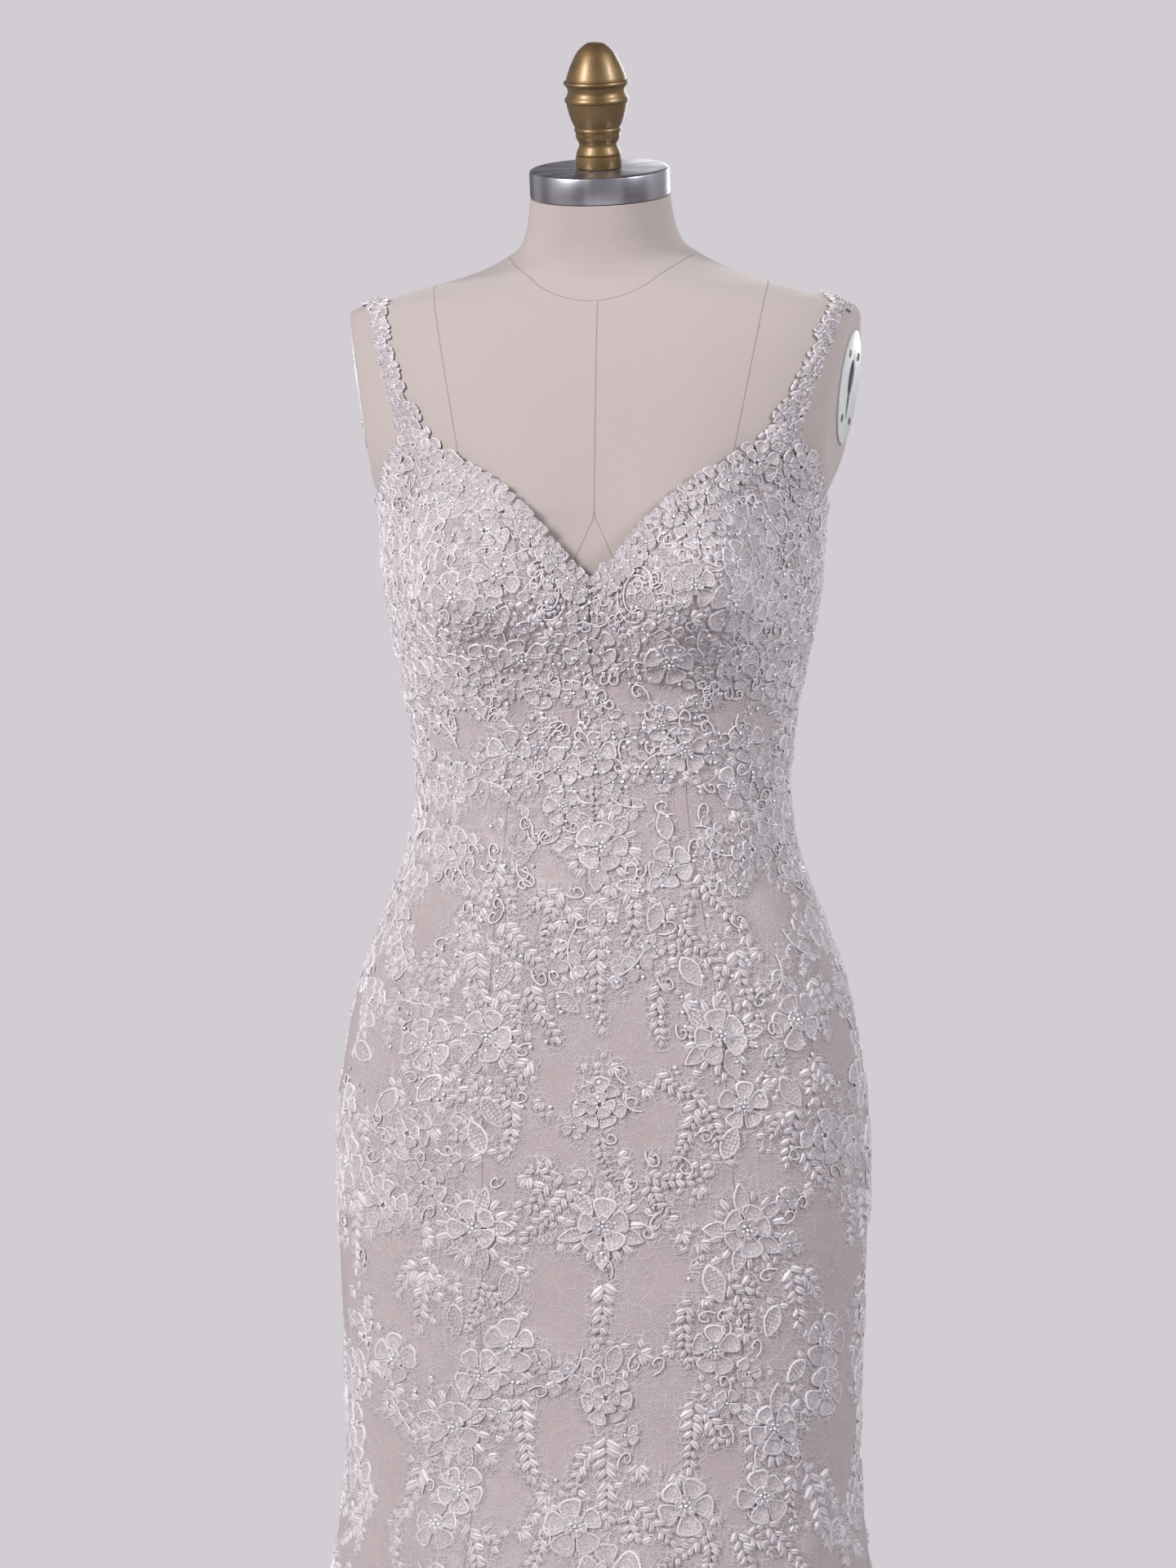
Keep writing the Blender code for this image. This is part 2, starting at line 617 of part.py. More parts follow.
def add_torso(finish):
    """The linen-covered body of the form, from its flat bottom to the slanted neck."""
    mesh = bmesh.new()
    bmesh.ops.create_cone(
        mesh, cap_ends=True, segments=TORSO_COLUMNS, radius1=1.0, radius2=1.0, depth=1.0,
        matrix=Matrix.Translation((0, 0, 0.5)),
    )
    upright = [e for e in mesh.edges if abs(e.verts[0].co.z - e.verts[1].co.z) > 0.5]
    bmesh.ops.subdivide_edges(mesh, edges=upright, cuts=len(TORSO_LEVELS) - 2, use_grid_fill=True)
    for v in mesh.verts:
        z = TORSO_LEVELS[round(v.co.z * (len(TORSO_LEVELS) - 1))]
        lift = FORM_LIFT_COVERED if z < COVERED_TO_Z else FORM_LIFT
        v.co = lifted(math.atan2(v.co.x, -v.co.y), z, lift)
    return add_object("torso", mesh, finish)


Profile = namedtuple("Profile", "radius height")
FINIAL = [
    Profile(0.0000, 0.0845), Profile(0.0050, 0.0843), Profile(0.0092, 0.0818), Profile(0.0135, 0.0775),
    Profile(0.0165, 0.0720), Profile(0.0188, 0.0660), Profile(0.0203, 0.0605), Profile(0.0208, 0.0590),
    Profile(0.0222, 0.0580), Profile(0.0222, 0.0568), Profile(0.0200, 0.0545), Profile(0.0196, 0.0520),
    Profile(0.0206, 0.0492), Profile(0.0218, 0.0468), Profile(0.0218, 0.0452), Profile(0.0207, 0.0440),
    Profile(0.0200, 0.0395), Profile(0.0180, 0.0330), Profile(0.0160, 0.0285), Profile(0.0154, 0.0270),
    Profile(0.0154, 0.0205), Profile(0.0132, 0.0175), Profile(0.0130, 0.0150), Profile(0.0146, 0.0100),
    Profile(0.0156, 0.0080), Profile(0.0156, 0.0000), Profile(0.0000, 0.0000),
]
CAP_RADIUS = 0.0480
CAP_HEIGHT = 0.0187
CAP_BEVEL = 0.0012
NECK_TILT = math.radians(NECK_TOP.tilt)
NECK_AXIS = Vector((0, -math.sin(NECK_TILT), math.cos(NECK_TILT)))


def neck_object(obj, above):
    """Seats an object at a distance above the neck's top, square to the slanted neck."""
    obj.location = Vector((0, NECK_TOP.lean_y, NECK_TOP.z)) + NECK_AXIS * above
    obj.rotation_euler = (NECK_TILT, 0, 0)
    return obj


def add_turned(name, profile, steps, finish):
    """A solid of revolution from its profile, top to bottom."""
    mesh = bmesh.new()
    verts = [mesh.verts.new((row.radius, 0, row.height)) for row in profile]
    edges = [mesh.edges.new(pair) for pair in zip(verts, verts[1:])]
    bmesh.ops.spin(
        mesh, geom=verts + edges, cent=(0, 0, 0), axis=(0, 0, 1), angle=2 * math.pi, steps=steps, use_merge=True
    )
    bmesh.ops.remove_doubles(mesh, verts=mesh.verts[:], dist=1e-5)
    return add_object(name, mesh, finish)


def add_neck_cap_and_finial(steel, brass):
    cap_profile = [
        Profile(0, CAP_HEIGHT), Profile(CAP_RADIUS - CAP_BEVEL, CAP_HEIGHT),
        Profile(CAP_RADIUS, CAP_HEIGHT - CAP_BEVEL), Profile(CAP_RADIUS, 0), Profile(0, 0),
    ]
    above_neck = SEAM_GAP
    neck_object(add_turned("neck_cap", cap_profile, 32, steel), above_neck)
    neck_object(add_turned("finial", FINIAL, 14, brass), above_neck + CAP_HEIGHT + SEAM_GAP)


ARM_PLATE_HALF_WIDTH = 0.027
ARM_PLATE_HALF_HEIGHT = 0.039
ARM_PLATE_THICKNESS = 0.0012
ARM_PLATE_Z = 1.388


def add_arm_plates(finish):
    """The oval metal plate on the flat of each armhole."""
    for name, side in (("arm_plate_left", 1), ("arm_plate_right", -1)):
        mesh = bmesh.new()
        bmesh.ops.create_cone(
            mesh, cap_ends=True, segments=20, radius1=1, radius2=1, depth=ARM_PLATE_THICKNESS
        )
        bmesh.ops.scale(mesh, vec=(ARM_PLATE_HALF_HEIGHT, ARM_PLATE_HALF_WIDTH, 1), verts=mesh.verts[:])
        plate = add_object(name, mesh, finish)
        normal = Vector((
            side * math.cos(ARM_PLANE_FORWARD), -math.sin(ARM_PLANE_FORWARD), -math.tan(ARM_PLANE_DOWN)
        )).normalized()
        seat = figure_point(side * math.radians(90), ARM_PLATE_Z)
        plate.location = seat + normal * (FORM_LIFT + SEAM_GAP + ARM_PLATE_THICKNESS / 2)
        up = Vector((0, 0, 1)) - normal * normal.z
        plate.rotation_mode = "QUATERNION"
        axes = (up.normalized(), normal.cross(up).normalized(), normal)
        plate.rotation_quaternion = Matrix(axes).transposed().to_quaternion()


FOOT_REACH = 0.240
FOOT_HALF_WIDTH = 0.015
FOOT_HEIGHT = 0.018
FOOT_COUNT = 4
POLE_RADIUS = 0.0145
COLLAR_PROFILE = [
    Profile(POLE_RADIUS + SEAM_GAP, 0.034), Profile(0.020, 0.034), Profile(0.024, 0.029), Profile(0.025, 0.012),
    Profile(0.032, 0.006), Profile(0.032, 0.0), Profile(POLE_RADIUS + SEAM_GAP, 0.0),
    Profile(POLE_RADIUS + SEAM_GAP, 0.034),
]
FLANGE_HEIGHT = 0.012
FLANGE_RADIUS = 0.062


def add_cylinder(name, radius, low, high, segments, finish):
    mesh = bmesh.new()
    bmesh.ops.create_cone(
        mesh, cap_ends=True, segments=segments, radius1=radius, radius2=radius, depth=high - low,
        matrix=Matrix.Translation((0, 0, (low + high) / 2)),
    )
    return add_object(name, mesh, finish)


def add_foot_cross(finish):
    """The stand's cast base: four flat feet on the diagonals, flat underneath."""
    mesh = bmesh.new()
    outline = []
    for i in range(FOOT_COUNT):
        turn = Matrix.Rotation(math.radians(45) + 2 * math.pi * i / FOOT_COUNT, 3, "Z")
        tip = [(FOOT_REACH, -FOOT_HALF_WIDTH, 0), (FOOT_REACH, FOOT_HALF_WIDTH, 0)]
        crotch = (FOOT_HALF_WIDTH, FOOT_HALF_WIDTH, 0)
        outline += [mesh.verts.new(turn @ Vector(point)) for point in (*tip, crotch)]
    underside = mesh.faces.new(outline)
    raised = bmesh.ops.extrude_face_region(mesh, geom=[underside], use_keep_orig=True)
    for v in [item for item in raised["geom"] if isinstance(item, bmesh.types.BMVert)]:
        v.co.z = FOOT_HEIGHT
    rim = [e for e in mesh.edges if all(v.co.z > FOOT_HEIGHT / 2 for v in e.verts)]
    bmesh.ops.bevel(mesh, geom=rim, offset=0.004, segments=1, affect="EDGES")
    return add_object("stand_base", mesh, finish)


def add_stand(iron, steel):
    """The footed base, the pole in its collar and the flange that carries the torso."""
    flange_top = FORM_BOTTOM_Z - SEAM_GAP
    flange_bottom = flange_top - FLANGE_HEIGHT
    add_foot_cross(iron)
    add_turned("stand_collar", COLLAR_PROFILE, 24, iron).location.z = FOOT_HEIGHT + SEAM_GAP
    add_cylinder("stand_pole", POLE_RADIUS, FOOT_HEIGHT + SEAM_GAP, flange_bottom - SEAM_GAP, 20, steel)
    add_cylinder("stand_flange", FLANGE_RADIUS, flange_bottom, flange_top, 24, iron)


# -------------------------------------------------------------------------------------------------- the model


def main():
    clear_scene()
    new_collection(COLLECTION)
    lace = material("silver_ivory_lace", (0.66, 0.60, 0.62), 0.62)
    satin = material("blush_satin", (0.52, 0.44, 0.46), 0.45)
    linen = material("form_linen", (0.60, 0.52, 0.50), 0.85)
    steel = material("brushed_steel", (0.62, 0.62, 0.66), 0.28, 1.0)
    brass = material("gilded_wood", (0.34, 0.22, 0.10), 0.38, 0.8)
    iron = material("black_iron", (0.03, 0.03, 0.03), 0.5, 0.6)
    plate = material("arm_plate_enamel", (0.56, 0.60, 0.60), 0.4)

    add_body_panels(satin)
    for word, side in (("left", 1), ("right", -1)):
        add_cup(f"cup_{word}", side, satin)
        add_strap(f"strap_{word}", side, lace)
        add_lace_edge(f"neck_lace_{word}", side, lace)
    for row in APPLIQUES:
        add_applique(row, lace)
    add_placket(satin)
    add_buttons(satin)

    add_torso(linen)
    add_neck_cap_and_finial(steel, brass)
    add_arm_plates(plate)
    add_stand(iron, steel)


main()
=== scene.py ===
"""Looks of a fitted lace wedding gown worn by a limbless linen dress form.

Metres, +Z up. The gown faces -Y and the wearer's left side is +X. An angle of 0 is the centre front, 90 the
wearer's left side and 180 the centre back. "Lift" is a distance out from the figure's surface.
"""

import math

import bmesh
import bpy
import numpy as np
from mathutils import Matrix, Vector
from mathutils.kdtree import KDTree


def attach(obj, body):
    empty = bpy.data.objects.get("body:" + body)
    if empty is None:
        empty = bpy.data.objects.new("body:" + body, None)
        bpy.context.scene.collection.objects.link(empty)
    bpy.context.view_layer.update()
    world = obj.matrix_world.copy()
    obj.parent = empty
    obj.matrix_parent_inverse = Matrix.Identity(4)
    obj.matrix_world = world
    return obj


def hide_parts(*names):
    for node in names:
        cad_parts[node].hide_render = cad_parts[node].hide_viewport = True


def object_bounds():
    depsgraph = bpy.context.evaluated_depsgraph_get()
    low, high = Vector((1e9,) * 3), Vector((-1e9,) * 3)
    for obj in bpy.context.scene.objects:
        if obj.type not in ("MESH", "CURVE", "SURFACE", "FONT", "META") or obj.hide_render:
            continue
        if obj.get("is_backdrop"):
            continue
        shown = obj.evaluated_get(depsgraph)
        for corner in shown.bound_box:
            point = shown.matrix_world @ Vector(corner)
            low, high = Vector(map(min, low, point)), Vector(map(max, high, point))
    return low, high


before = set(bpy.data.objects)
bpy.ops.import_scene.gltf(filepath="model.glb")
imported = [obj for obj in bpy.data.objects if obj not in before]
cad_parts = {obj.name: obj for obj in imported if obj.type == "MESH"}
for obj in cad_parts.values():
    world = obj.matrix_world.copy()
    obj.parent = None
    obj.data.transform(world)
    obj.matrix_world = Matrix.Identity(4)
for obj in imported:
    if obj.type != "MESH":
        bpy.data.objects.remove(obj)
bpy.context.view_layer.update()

# ---------------------------------------------------------------------------------------- camera and studio
# A portrait lens nearly three metres off, a little to the wearer's left and level with the waist. The floor
# is a plain pale disc, and three large soft boxes light the gown from the front left, the right and above.

CAMERA_DISTANCE = 2.9
CAMERA_TURN = math.radians(7)
CAMERA_HEIGHT = 1.117
CAMERA_ASIDE = -0.010
VIEW_HEIGHT = 1.0787  # what the picture's height spans at the object
FILM_HEIGHT = 36


def in_scene(name, data):
    made = bpy.data.objects.new(name, data)
    bpy.context.scene.collection.objects.link(made)
    return made


camera_data = bpy.data.cameras.new("portrait_camera")
camera_data.sensor_fit = "VERTICAL"
camera_data.sensor_height = FILM_HEIGHT
camera_data.lens = FILM_HEIGHT * CAMERA_DISTANCE / VIEW_HEIGHT
camera = in_scene("portrait_camera", camera_data)
to_right = Vector((math.cos(CAMERA_TURN), math.sin(CAMERA_TURN), 0))
to_front = Vector((math.sin(CAMERA_TURN), -math.cos(CAMERA_TURN), 0))
camera.location = to_front * CAMERA_DISTANCE + to_right * CAMERA_ASIDE + Vector((0, 0, CAMERA_HEIGHT))
camera.rotation_euler = (math.pi / 2, 0, CAMERA_TURN)
bpy.context.scene.camera = camera
bpy.context.scene.view_settings.view_transform = "Standard"

AIM_Z = 1.1
for name, place, aim_z, size, power, tint in (
    ("key_light", (-2.1, -2.4, 2.5), 1.15, (0.9, 1.2), 132, (1.0, 0.985, 0.975)),
    ("side_light", (2.3, -1.1, 2.6), AIM_Z, (0.5, 0.8), 54, (0.98, 0.985, 1.0)),
    ("back_light", (0.6, 2.8, 2.3), AIM_Z, (1.8, 1.4), 34, (1, 1, 1)),
):
    light = bpy.data.lights.new(name, "AREA")
    light.shape = "RECTANGLE"
    light.size, light.size_y = size
    light.energy = power
    light.color = tint
    box = in_scene(name, light)
    box.location = place
    box.rotation_euler = (Vector((0, 0, aim_z)) - Vector(place)).to_track_quat("-Z", "Y").to_euler()


class Nodes:
    """Short ways to add and link the nodes of a tree."""

    def __init__(self, tree):
        self.tree = tree

    def node(self, kind, settings=None, **inputs):
        """Adds a node. settings are its own properties, and inputs its sockets' values or links.

        A socket is given by its name, or as i0, i1 and so on by its number.
        """
        made = self.tree.nodes.new(f"ShaderNode{kind}")
        for key, value in (settings or {}).items():
            setattr(made, key, value)
        for key, value in inputs.items():
            socket = made.inputs[int(key[1:])] if key[0] == "i" and key[1:].isdigit() else made.inputs[key]
            if isinstance(value, bpy.types.NodeSocket):
                self.tree.links.new(value, socket)
            else:
                socket.default_value = value
        return made

    def math(self, operation, first, second=0.0, third=0.0):
        return self.node("Math", {"operation": operation}, i0=first, i1=second, i2=third).outputs[0]

    def plus(self, first, second):
        return self.math("ADD", first, second)

    def times(self, first, second):
        return self.math("MULTIPLY", first, second)

    def most(self, first, second):
        return self.math("MAXIMUM", first, second)

    def size(self, value):
        return self.math("ABSOLUTE", value)

    def ramp(self, value, low, high):
        """0 to 1, smoothly, as value goes from low to high."""
        settings = {"interpolation_type": "SMOOTHSTEP"}
        return self.node("MapRange", settings, i0=value, i1=low, i2=high).outputs[0]

    def mix(self, share, first, second):
        ends = [(*end, 1) if isinstance(end, tuple) else end for end in (first, second)]
        return self.node("Mix", {"data_type": "RGBA"}, i0=share, i6=ends[0], i7=ends[1]).outputs[2]

    def noise(self, scale, detail=2.0, where=None):
        return self.node("TexNoise", Scale=scale, Detail=detail, Vector=where or self.where()).outputs["Fac"]

    def where(self):
        return self.node("TexCoord").outputs["Object"]

    def parts(self, vector):
        return self.node("SeparateXYZ", i0=vector).outputs

    def joined(self, x, y, z=0.0):
        return self.node("CombineXYZ", X=x, Y=y, Z=z).outputs[0]


SEEN_BACKDROP = (0.64, 0.61, 0.65)
ROOM_SIDES = (0.46, 0.435, 0.465)  # what the room gives back: pale walls, and darkness behind the camera
ROOM_DEPTH = (0.10, 0.095, 0.105)
world = bpy.data.worlds.new("pale_studio")
world.use_nodes = True
studio = Nodes(world.node_tree)
sideways = studio.parts(studio.node("TexCoord").outputs["Generated"])["X"]
room = studio.mix(studio.size(sideways), ROOM_DEPTH, ROOM_SIDES)
shown = studio.mix(studio.node("LightPath").outputs["Is Camera Ray"], room, SEEN_BACKDROP)
studio.tree.links.new(shown, studio.tree.nodes["Background"].inputs["Color"])
bpy.context.scene.world = world


def grain_group():
    """Uneven grain that most finishes share: its height, a colour between two, and a roughness."""
    group = bpy.data.node_groups.new("grain", "ShaderNodeTree")
    for way, kind, names in (("INPUT", "Vector", ("Where", "Stretch")), ("INPUT", "Color", ("Dark", "Light")),
                             ("INPUT", "Float", ("Scale", "Detail", "Smoothest", "Spread")),
                             ("OUTPUT", "Color", ("Color",)), ("OUTPUT", "Float", ("Height", "Roughness"))):
        for name in names:
            group.interface.new_socket(name, in_out=way, socket_type=f"NodeSocket{kind}")
    made = Nodes(group)
    given, out = (group.nodes.new(f"NodeGroup{way}") for way in ("Input", "Output"))
    given, out = given.outputs, out.inputs
    at = made.node("VectorMath", {"operation": "MULTIPLY"}, i0=given["Where"], i1=given["Stretch"]).outputs[0]
    height = made.noise(given["Scale"], given["Detail"], at)
    group.links.new(height, out["Height"])
    group.links.new(made.mix(height, given["Dark"], given["Light"]), out["Color"])
    group.links.new(made.math("MULTIPLY_ADD", height, given["Spread"], given["Smoothest"]), out["Roughness"])
    return group


GRAIN = grain_group()


class Finish(Nodes):
    """A node material on a Principled shader."""

    def __init__(self, name, color, roughness, **constants):
        self.material = bpy.data.materials.new(name)
        self.material.use_nodes = True
        super().__init__(self.material.node_tree)
        self.sockets = self.tree.nodes["Principled BSDF"].inputs
        self.sockets["Base Color"].default_value = (*color, 1)
        self.sockets["Roughness"].default_value = roughness
        for socket, value in constants.items():
            self.sockets[socket.replace("_", " ")].default_value = value

    def grain(self, scale, detail=2.0, dark=(0, 0, 0), light=(1, 1, 1), stretch=(1, 1, 1),
              smoothest=0.0, spread=0.0):
        return self.node("Group", {"node_tree": GRAIN}, Where=self.where(), Stretch=stretch, Scale=scale,
                         Detail=detail, Dark=(*dark, 1), Light=(*light, 1), Smoothest=smoothest,
                         Spread=spread).outputs

    def grained(self, *args, **settings):
        """Colours the finish with grain and gives its height. With smoothest it sets the roughness too."""
        made = self.grain(*args, **settings)
        self.color(made["Color"])
        if "smoothest" in settings:
            self.roughness(made["Roughness"])
        return made["Height"]

    def along(self, name):
        """The vector attribute of that name."""
        return self.node("Attribute", {"attribute_name": name}).outputs["Vector"]

    def share(self, name):
        """The number attribute of that name."""
        return self.node("Attribute", {"attribute_name": name}).outputs["Fac"]

    def color(self, value):
        self.tree.links.new(value, self.sockets["Base Color"])

    def roughness(self, value):
        self.tree.links.new(value, self.sockets["Roughness"])

    def bump(self, height, distance, strength=1.0):
        bumped = self.node("Bump", Strength=strength, Distance=distance, Height=height)
        self.tree.links.new(bumped.outputs["Normal"], self.sockets["Normal"])


floor_paint = Finish("floor_paint", (0.66, 0.63, 0.66), 0.7)
floor_paint.bump(floor_paint.noise(14.0, 3.0), 0.002, 0.3)

FLOOR_RADIUS = 2.2
floor_mesh = bmesh.new()
bmesh.ops.create_circle(floor_mesh, cap_ends=True, segments=96, radius=FLOOR_RADIUS)
floor_data = bpy.data.meshes.new("floor")
floor_mesh.to_mesh(floor_data)
floor_mesh.free()
floor_data.materials.append(floor_paint.material)
floor = in_scene("floor", floor_data)
floor.location.z = -0.0005
floor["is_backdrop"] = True

# -------------------------------------------------------------------------------- the figure under the gown
# A padded body on a floor stand, shaped to a bust of 88 cm, a waist of 71 cm and a hip of 100 cm. The rows
# are sections round its axis from the floor up, and those under the knee give the gown's flare.

SECTION_COLUMNS = ("z", "half_width", "front", "back", "square", "lean_y", "tilt")
SECTIONS = np.array([
    (0.000, 0.408, 0.348, 0.478, 2.00, 0, 0),
    (0.120, 0.372, 0.312, 0.428, 2.00, 0, 0),
    (0.250, 0.322, 0.268, 0.358, 2.00, 0, 0),
    (0.380, 0.264, 0.220, 0.284, 2.00, 0, 0),
    (0.480, 0.221, 0.182, 0.228, 2.00, 0, 0),
    (0.560, 0.188, 0.150, 0.182, 2.05, 0, 0),
    (0.605, 0.1775, 0.136, 0.162, 2.10, 0, 0),
    (0.650, 0.1720, 0.126, 0.148, 2.15, 0, 0),
    (0.700, 0.1738, 0.120, 0.141, 2.20, 0, 0),
    (0.780, 0.1780, 0.116, 0.140, 2.20, 0, 0),
    (0.860, 0.1805, 0.114, 0.142, 2.20, 0, 0),
    (0.920, 0.1770, 0.112, 0.139, 2.20, 0, 0),
    (0.970, 0.1678, 0.110, 0.130, 2.20, 0, 0),
    (1.020, 0.1515, 0.107, 0.115, 2.15, 0, 0),
    (1.070, 0.1325, 0.101, 0.098, 2.10, 0, 0),
    (1.110, 0.1257, 0.097, 0.089, 2.10, 0, 0),
    (1.140, 0.1272, 0.097, 0.087, 2.10, 0, 0),
    (1.175, 0.1325, 0.100, 0.091, 2.15, 0, 0),
    (1.210, 0.1395, 0.103, 0.097, 2.20, 0, 0),
    (1.245, 0.1465, 0.106, 0.104, 2.25, 0, 0),
    (1.280, 0.1495, 0.108, 0.110, 2.30, 0, 0),
    (1.308, 0.1520, 0.108, 0.114, 2.35, 0, 0),
    (1.340, 0.1650, 0.104, 0.116, 2.40, 0, 0),
    (1.380, 0.1750, 0.095, 0.114, 2.40, 0, 0),
    (1.412, 0.1795, 0.084, 0.107, 2.35, 0, 0),
    (1.432, 0.1785, 0.074, 0.098, 2.25, 0, 0),
    (1.444, 0.1755, 0.066, 0.089, 2.15, 0, 0),
    (1.4515, 0.1520, 0.062, 0.082, 2.08, 0, 1),
    (1.459, 0.1280, 0.0600, 0.076, 2.04, 0, 4),
    (1.466, 0.1030, 0.0580, 0.070, 2.00, 0, 9),
    (1.4725, 0.0826, 0.0565, 0.0650, 2.00, -0.001, 14),
    (1.479, 0.0690, 0.0550, 0.0610, 2.00, -0.002, 17),
    (1.486, 0.0585, 0.0535, 0.0575, 2.00, -0.003, 18),
    (1.496, 0.0532, 0.0515, 0.0540, 2.00, -0.006, 17.5),
    (1.508, 0.0504, 0.0500, 0.0515, 2.00, -0.010, 17),
    (1.520, 0.0490, 0.0485, 0.0490, 2.00, -0.014, 16.8),
])
SECTION = dict(zip(SECTION_COLUMNS, SECTIONS.T))
NECK_TOP_Z = 1.520
NECK_LEAN_Y = -0.014
NECK_TILT = math.radians(16.8)

BUST_ANGLE = math.radians(32)
BUST_Z = 1.243
BUST_RISE = 0.034
BUST_HALF_WIDTH = 0.045
BUST_HALF_ABOVE = 0.058
BUST_HALF_BELOW = 0.040
FLUTE_COUNT = 10
FLUTE_TOP_Z = 0.640
FLUTE_DEPTH = 0.031
HEM_Z = 0.010
ARMHOLE_FOOT_Z = 1.30
ARMHOLE_TOP_Z = 1.46
ARM_PLANE_X = 0.1725
ARM_PLANE_Z = 1.409
ARM_PLANE_FORWARD = math.radians(8.4)
ARM_PLANE_DOWN = math.radians(8)


def smooth_read(keys, values, at):
    """The values at keys, on a smooth curve through the rows of a table."""
    keys, values = np.asarray(keys, float), np.asarray(values, float)
    at = np.clip(at, keys[0], keys[-1])
    row = np.arange(len(keys))
    low, high = np.maximum(row - 1, 0), np.minimum(row + 1, len(keys) - 1)
    slope = (values[high] - values[low]) / (keys[high] - keys[low])
    i = np.clip(np.searchsorted(keys, at, side="right") - 1, 0, len(keys) - 2)
    span = keys[i + 1] - keys[i]
    t = (at - keys[i]) / span
    return (
        values[i] * (1 + 2 * t) * (1 - t) ** 2
        + slope[i] * span * t * (1 - t) ** 2
        + values[i + 1] * t * t * (3 - 2 * t)
        - slope[i + 1] * span * t * t * (1 - t)
    )


def wrapped(angle):
    return (angle + math.pi) % (2 * math.pi) - math.pi


def bust_rise(angle, radius, z):
    half_height = np.where(z > BUST_Z, BUST_HALF_ABOVE, BUST_HALF_BELOW)
    rise = BUST_RISE * np.exp(-(((z - BUST_Z) / half_height) ** 2))
    across = [(wrapped(angle) - side * BUST_ANGLE) * radius / BUST_HALF_WIDTH for side in (-1, 1)]
    return rise * sum(np.exp(-(a**2)) for a in across)


def flute_wave(angle, z):
    """The skirt's folds below the knee, uneven in spacing and depth, with smaller ones near the hem."""
    share = np.clip((FLUTE_TOP_Z - z) / (FLUTE_TOP_Z - HEM_Z), 0, 1.02)
    turn = angle + 0.08 * np.sin(3 * angle + 0.6) + 0.04 * np.sin(4 * angle + 2.0)
    uneven = 1 + 0.24 * np.sin(3 * angle + 1.1) + 0.14 * np.sin(5 * angle)
    small = 0.0034 * share**2.5 * np.sin(17 * angle + 2.2 * np.sin(2 * angle) + 3.0 * share)
    return FLUTE_DEPTH * share**1.35 * uneven * np.cos(FLUTE_COUNT * turn) + small


def arm_plane_radius(angle, z):
    along = np.sin(np.abs(wrapped(angle)) + ARM_PLANE_FORWARD)
    reach = ARM_PLANE_X * math.cos(ARM_PLANE_FORWARD) + (z - ARM_PLANE_Z) * math.tan(ARM_PLANE_DOWN)
    return np.where(along > 0.2, reach / np.maximum(along, 0.2), 1.0)


def figure_radius(angle, z):
    half_width, square = (smooth_read(SECTION["z"], SECTION[name], z) for name in ("half_width", "square"))
    front, back = (smooth_read(SECTION["z"], SECTION[name], z) for name in ("front", "back"))
    depth = np.where(np.cos(angle) > 0, front, back)
    radius = (
        np.abs(np.sin(angle) / half_width) ** square + np.abs(np.cos(angle) / depth) ** square
    ) ** (-1 / square)
    radius = radius + bust_rise(angle, radius, z) + flute_wave(angle, z)
    flat = (z > ARMHOLE_FOOT_Z) & (z < ARMHOLE_TOP_Z)
    return np.where(flat, np.minimum(radius, arm_plane_radius(angle, z)), radius)


def figure_point(angle, z):
    """Points of the figure's surface, as rows of x, y, z."""
    angle, z = np.broadcast_arrays(np.asarray(angle, float), np.asarray(z, float))
    radius = figure_radius(angle, z)
    lean = smooth_read(SECTION["z"], SECTION["lean_y"], z)
    tilt = smooth_read(SECTION["z"], SECTION["tilt"], z)
    y = -radius * np.cos(angle)
    return np.stack([radius * np.sin(angle), y + lean, z + y * np.tan(np.radians(tilt))], axis=-1)


def lengths(rows):
    return np.sqrt((rows**2).sum(axis=-1, keepdims=True))


def run_along(route):
    """How far along a route each of its points lies."""
    return np.concatenate([[0], np.cumsum(lengths(np.diff(route, axis=0))[:, 0])])


def figure_normal(angle, z, step=0.002):
    around = figure_point(angle + step * 6, z) - figure_point(angle - step * 6, z)
    low, high = np.maximum(z - step, 0.0), np.minimum(z + step, NECK_TOP_Z)
    normal = np.cross(around, figure_point(angle, high) - figure_point(angle, low))
    return normal / lengths(normal)


def lifted(angle, z, lift):
    return figure_point(angle, z) + figure_normal(angle, z) * np.asarray(lift)[..., None]


# ----------------------------------------------------------------------------------- linen body of the form
# Linen stretched over padding in eight panels: sewn down the centre, over the bust and down the sides, and
# round the foot of the neck. It stands clear of the gown, and its armholes are flat.

FORM_BOTTOM_Z = 0.790
FORM_LIFT = -0.0009
FORM_LIFT_COVERED = -0.0019  # under the cups and panels
COVERED_TOP_Z = 1.300
LINEN_COLUMNS = 180
LINEN_LEVELS = ((0, FORM_BOTTOM_Z), (50, 1.280), (54, 1.305), (68, 1.400), (82, 1.4445), (112, 1.486),
                (126, NECK_TOP_Z))  # ring, height
LINEN_SEAM_X = ((0.79, 0.088), (1.00, 0.072), (1.11, 0.058), (1.243, 0.078), (1.338, 0.092), (1.455, 0.114))
FORK_Z = 1.294
FORM_TURN = math.radians(4)  # the form stands a little turned inside the gown
NECK_FOOT_Z = 1.463  # where the chest turns up into the neck, at the front
NECK_EASE = 0.012  # how far up and down the linen evens that turn out
NECK_SEAM_DIP_Z = 1.4424  # of the neck seam at the centre front
NECK_SEAM_CURVE = 9.2  # its climb to the sides, in metres for each square metre
NECK_SEAM_SIDE_Z = 1.4766
NECK_SEAM_SLANT = 0.54  # its climb from the sides to the back
SHOULDER_PLEATS = ((1.440, -0.030, 0.9), (1.441, -0.020, 1.2), (1.442, -0.008, 0.8), (1.441, 0.004, 1.1),
                   (1.440, 0.016, 0.7), (1.438, 0.030, 1.0))


